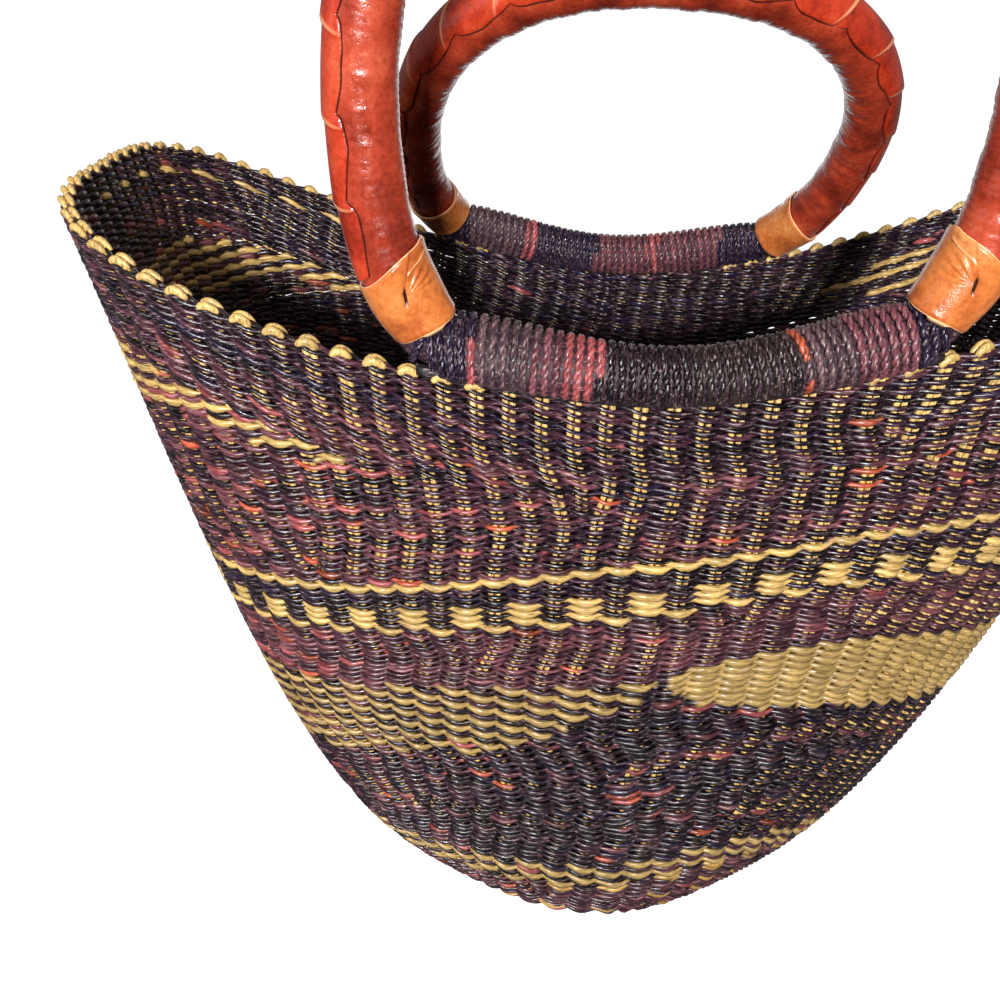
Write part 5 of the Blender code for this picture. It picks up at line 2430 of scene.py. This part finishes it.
# Studio

@dataclass(frozen=True)
class Lamp:
    """A soft square light that looks at the basket.

    Args:
        name: Its name.
        place: Where it hangs.
        size: Length of its side.
        power: Its power in watts.
    """
    name: str
    place: tuple[float, float, float]
    size: float
    power: float

    def build(self, target: tuple[float, float, float]) -> None:
        """Add the light, unseen by the camera.

        Args:
            target: Where it looks.
        """
        data = bpy.data.lights.new(self.name, "AREA")
        data.size, data.energy = self.size, self.power
        lamp = bpy.data.objects.new(self.name, data)
        lamp.location = self.place
        lamp.rotation_mode = "QUATERNION"
        lamp.rotation_quaternion = (Vector(target) - Vector(self.place)).to_track_quat("-Z", "Y")
        lamp.visible_camera = False
        bpy.context.scene.collection.objects.link(lamp)


@dataclass(frozen=True)
class Studio:
    """Pale floor, soft lights and the camera at the photograph's viewing angle.

    Args:
        lens: Focal length in millimetres, on a sensor 36 mm wide.
        place: Where the camera stands.
        yaw: Its turn to the right of +Y, in radians.
        pitch: Its tilt upwards.
        roll: Its turn about the line of sight.
        target: Where the lights look.
        floor_reach: Radius of the flat floor.
        bend_radius: Radius of the curve from the floor up to the wall.
        wall_height: Height of the wall.
        columns: Points round the floor.
        world: Strength of the light from all round.
        lamps: The lights.
    """
    lens: float = 34.45
    place: tuple[float, float, float] = (-0.06816, -0.42554, 0.39418)
    yaw: float = 0.029621
    pitch: float = -0.433891
    roll: float = 0.047710
    target: tuple[float, float, float] = (0.0, 0.0, 0.22)
    floor_reach: float = 2.6
    bend_radius: float = 0.9
    wall_height: float = 5.0
    columns: int = 96
    world: float = 0.16
    lamps: tuple[Lamp, ...] = (
        Lamp("key", (-0.17, -1.61, 0.63), 0.14, 42.0),
        Lamp("left_fill", (-1.4, -0.5, 0.7), 0.8, 2.6),
        Lamp("back_top", (0.1, 0.7, 1.6), 1.2, 2.2),
        Lamp("back_soft", (0.25, 1.6, 0.15), 1.2, 8.0))

    def camera(self) -> None:
        """Set the camera: its axes come from yaw and pitch, then turn by the roll."""
        flat = math.cos(self.pitch)
        forward = np.array([math.sin(self.yaw) * flat, math.cos(self.yaw) * flat, math.sin(self.pitch)])
        right = np.array([math.cos(self.yaw), -math.sin(self.yaw), 0.0])
        up = np.cross(right, forward)
        across = math.cos(self.roll) * right + math.sin(self.roll) * up
        upward = -math.sin(self.roll) * right + math.cos(self.roll) * up
        data = bpy.data.cameras.new("camera")
        data.sensor_width, data.lens = 36.0, self.lens
        data.clip_start, data.clip_end = 0.01, 30.0
        camera = bpy.data.objects.new("camera", data)
        rows = np.eye(4)
        rows[:3] = np.column_stack([across, upward, -forward, self.place])
        camera.matrix_world = Matrix(rows.tolist())
        bpy.context.scene.collection.objects.link(camera)
        bpy.context.scene.camera = camera

    def floor(self) -> None:
        """A round floor that curves up into a wall on all sides.

        The profile is flat, then a quarter circle, then straight up. Its own light grows away
        from the basket, so that the far floor and the wall stay pale. It throws no light back
        on the basket.
        """
        bend = np.linspace(0, math.pi / 2, 13)
        curve = self.floor_reach + self.bend_radius * np.sin(bend)
        reach = np.concatenate([[0.001, 1.0], curve, curve[-1:]])
        height = np.concatenate([[0.0, 0.0], self.bend_radius * (1 - np.cos(bend)), [self.wall_height]])
        turn = np.arange(self.columns) / self.columns * TAU
        points = np.stack([np.outer(reach, np.cos(turn)), np.outer(reach, np.sin(turn)),
                           np.outer(height, np.ones(self.columns))], axis=-1)
        item = mesh_object("floor", points.reshape(-1, 3), grid_quads(len(reach), self.columns, False, True))
        nodes = Nodes("pale_floor")
        away = nodes.add("ShaderNodeVectorMath", operation="LENGTH")
        nodes.link(nodes.place(), away.inputs[0])
        nodes.drive("Emission Strength", nodes.span(away.outputs["Value"], 0.60, 0.88, 0.8, 2.6))
        nodes.shader.inputs["Base Color"].default_value = (0.93, 0.93, 0.93, 1.0)
        nodes.shader.inputs["Roughness"].default_value = 0.9
        nodes.shader.inputs["Emission Color"].default_value = (1.0, 1.0, 1.0, 1.0)
        item.data.materials.append(nodes.material)
        item.visible_diffuse = False
        item.visible_glossy = False
        item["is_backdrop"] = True

    def build(self) -> None:
        """Make the floor, the lights and the camera."""
        scene = bpy.context.scene
        world = bpy.data.worlds.new("studio")
        scene.world = world
        world.use_nodes = True
        background = world.node_tree.nodes["Background"]
        background.inputs["Color"].default_value = (1.0, 1.0, 1.0, 1.0)
        background.inputs["Strength"].default_value = self.world
        scene.view_settings.view_transform = "Standard"
        self.floor()
        for lamp in self.lamps:
            lamp.build(self.target)
        self.camera()


def corners() -> list[list[float]]:
    """The shown object's lowest and highest corners."""
    return [list(corner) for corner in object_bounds()]


# Name and side of each handle, and its lean from upright into the basket in the photo, in degrees
HANDLES = (("front", -1, -7.0), ("back", 1, 50.0))


def main() -> None:
    """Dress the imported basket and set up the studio."""
    logging.basicConfig(level=logging.INFO, format="%(message)s")
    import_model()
    form = BasketForm()
    WovenWall(form).build()
    WovenBase(form).build()
    for name, side, lean in HANDLES:
        Roll(form, name, side).build()
        Handle(form, name, side, lean).build()
    Studio().build()


if __name__ == "__main__":
    main()
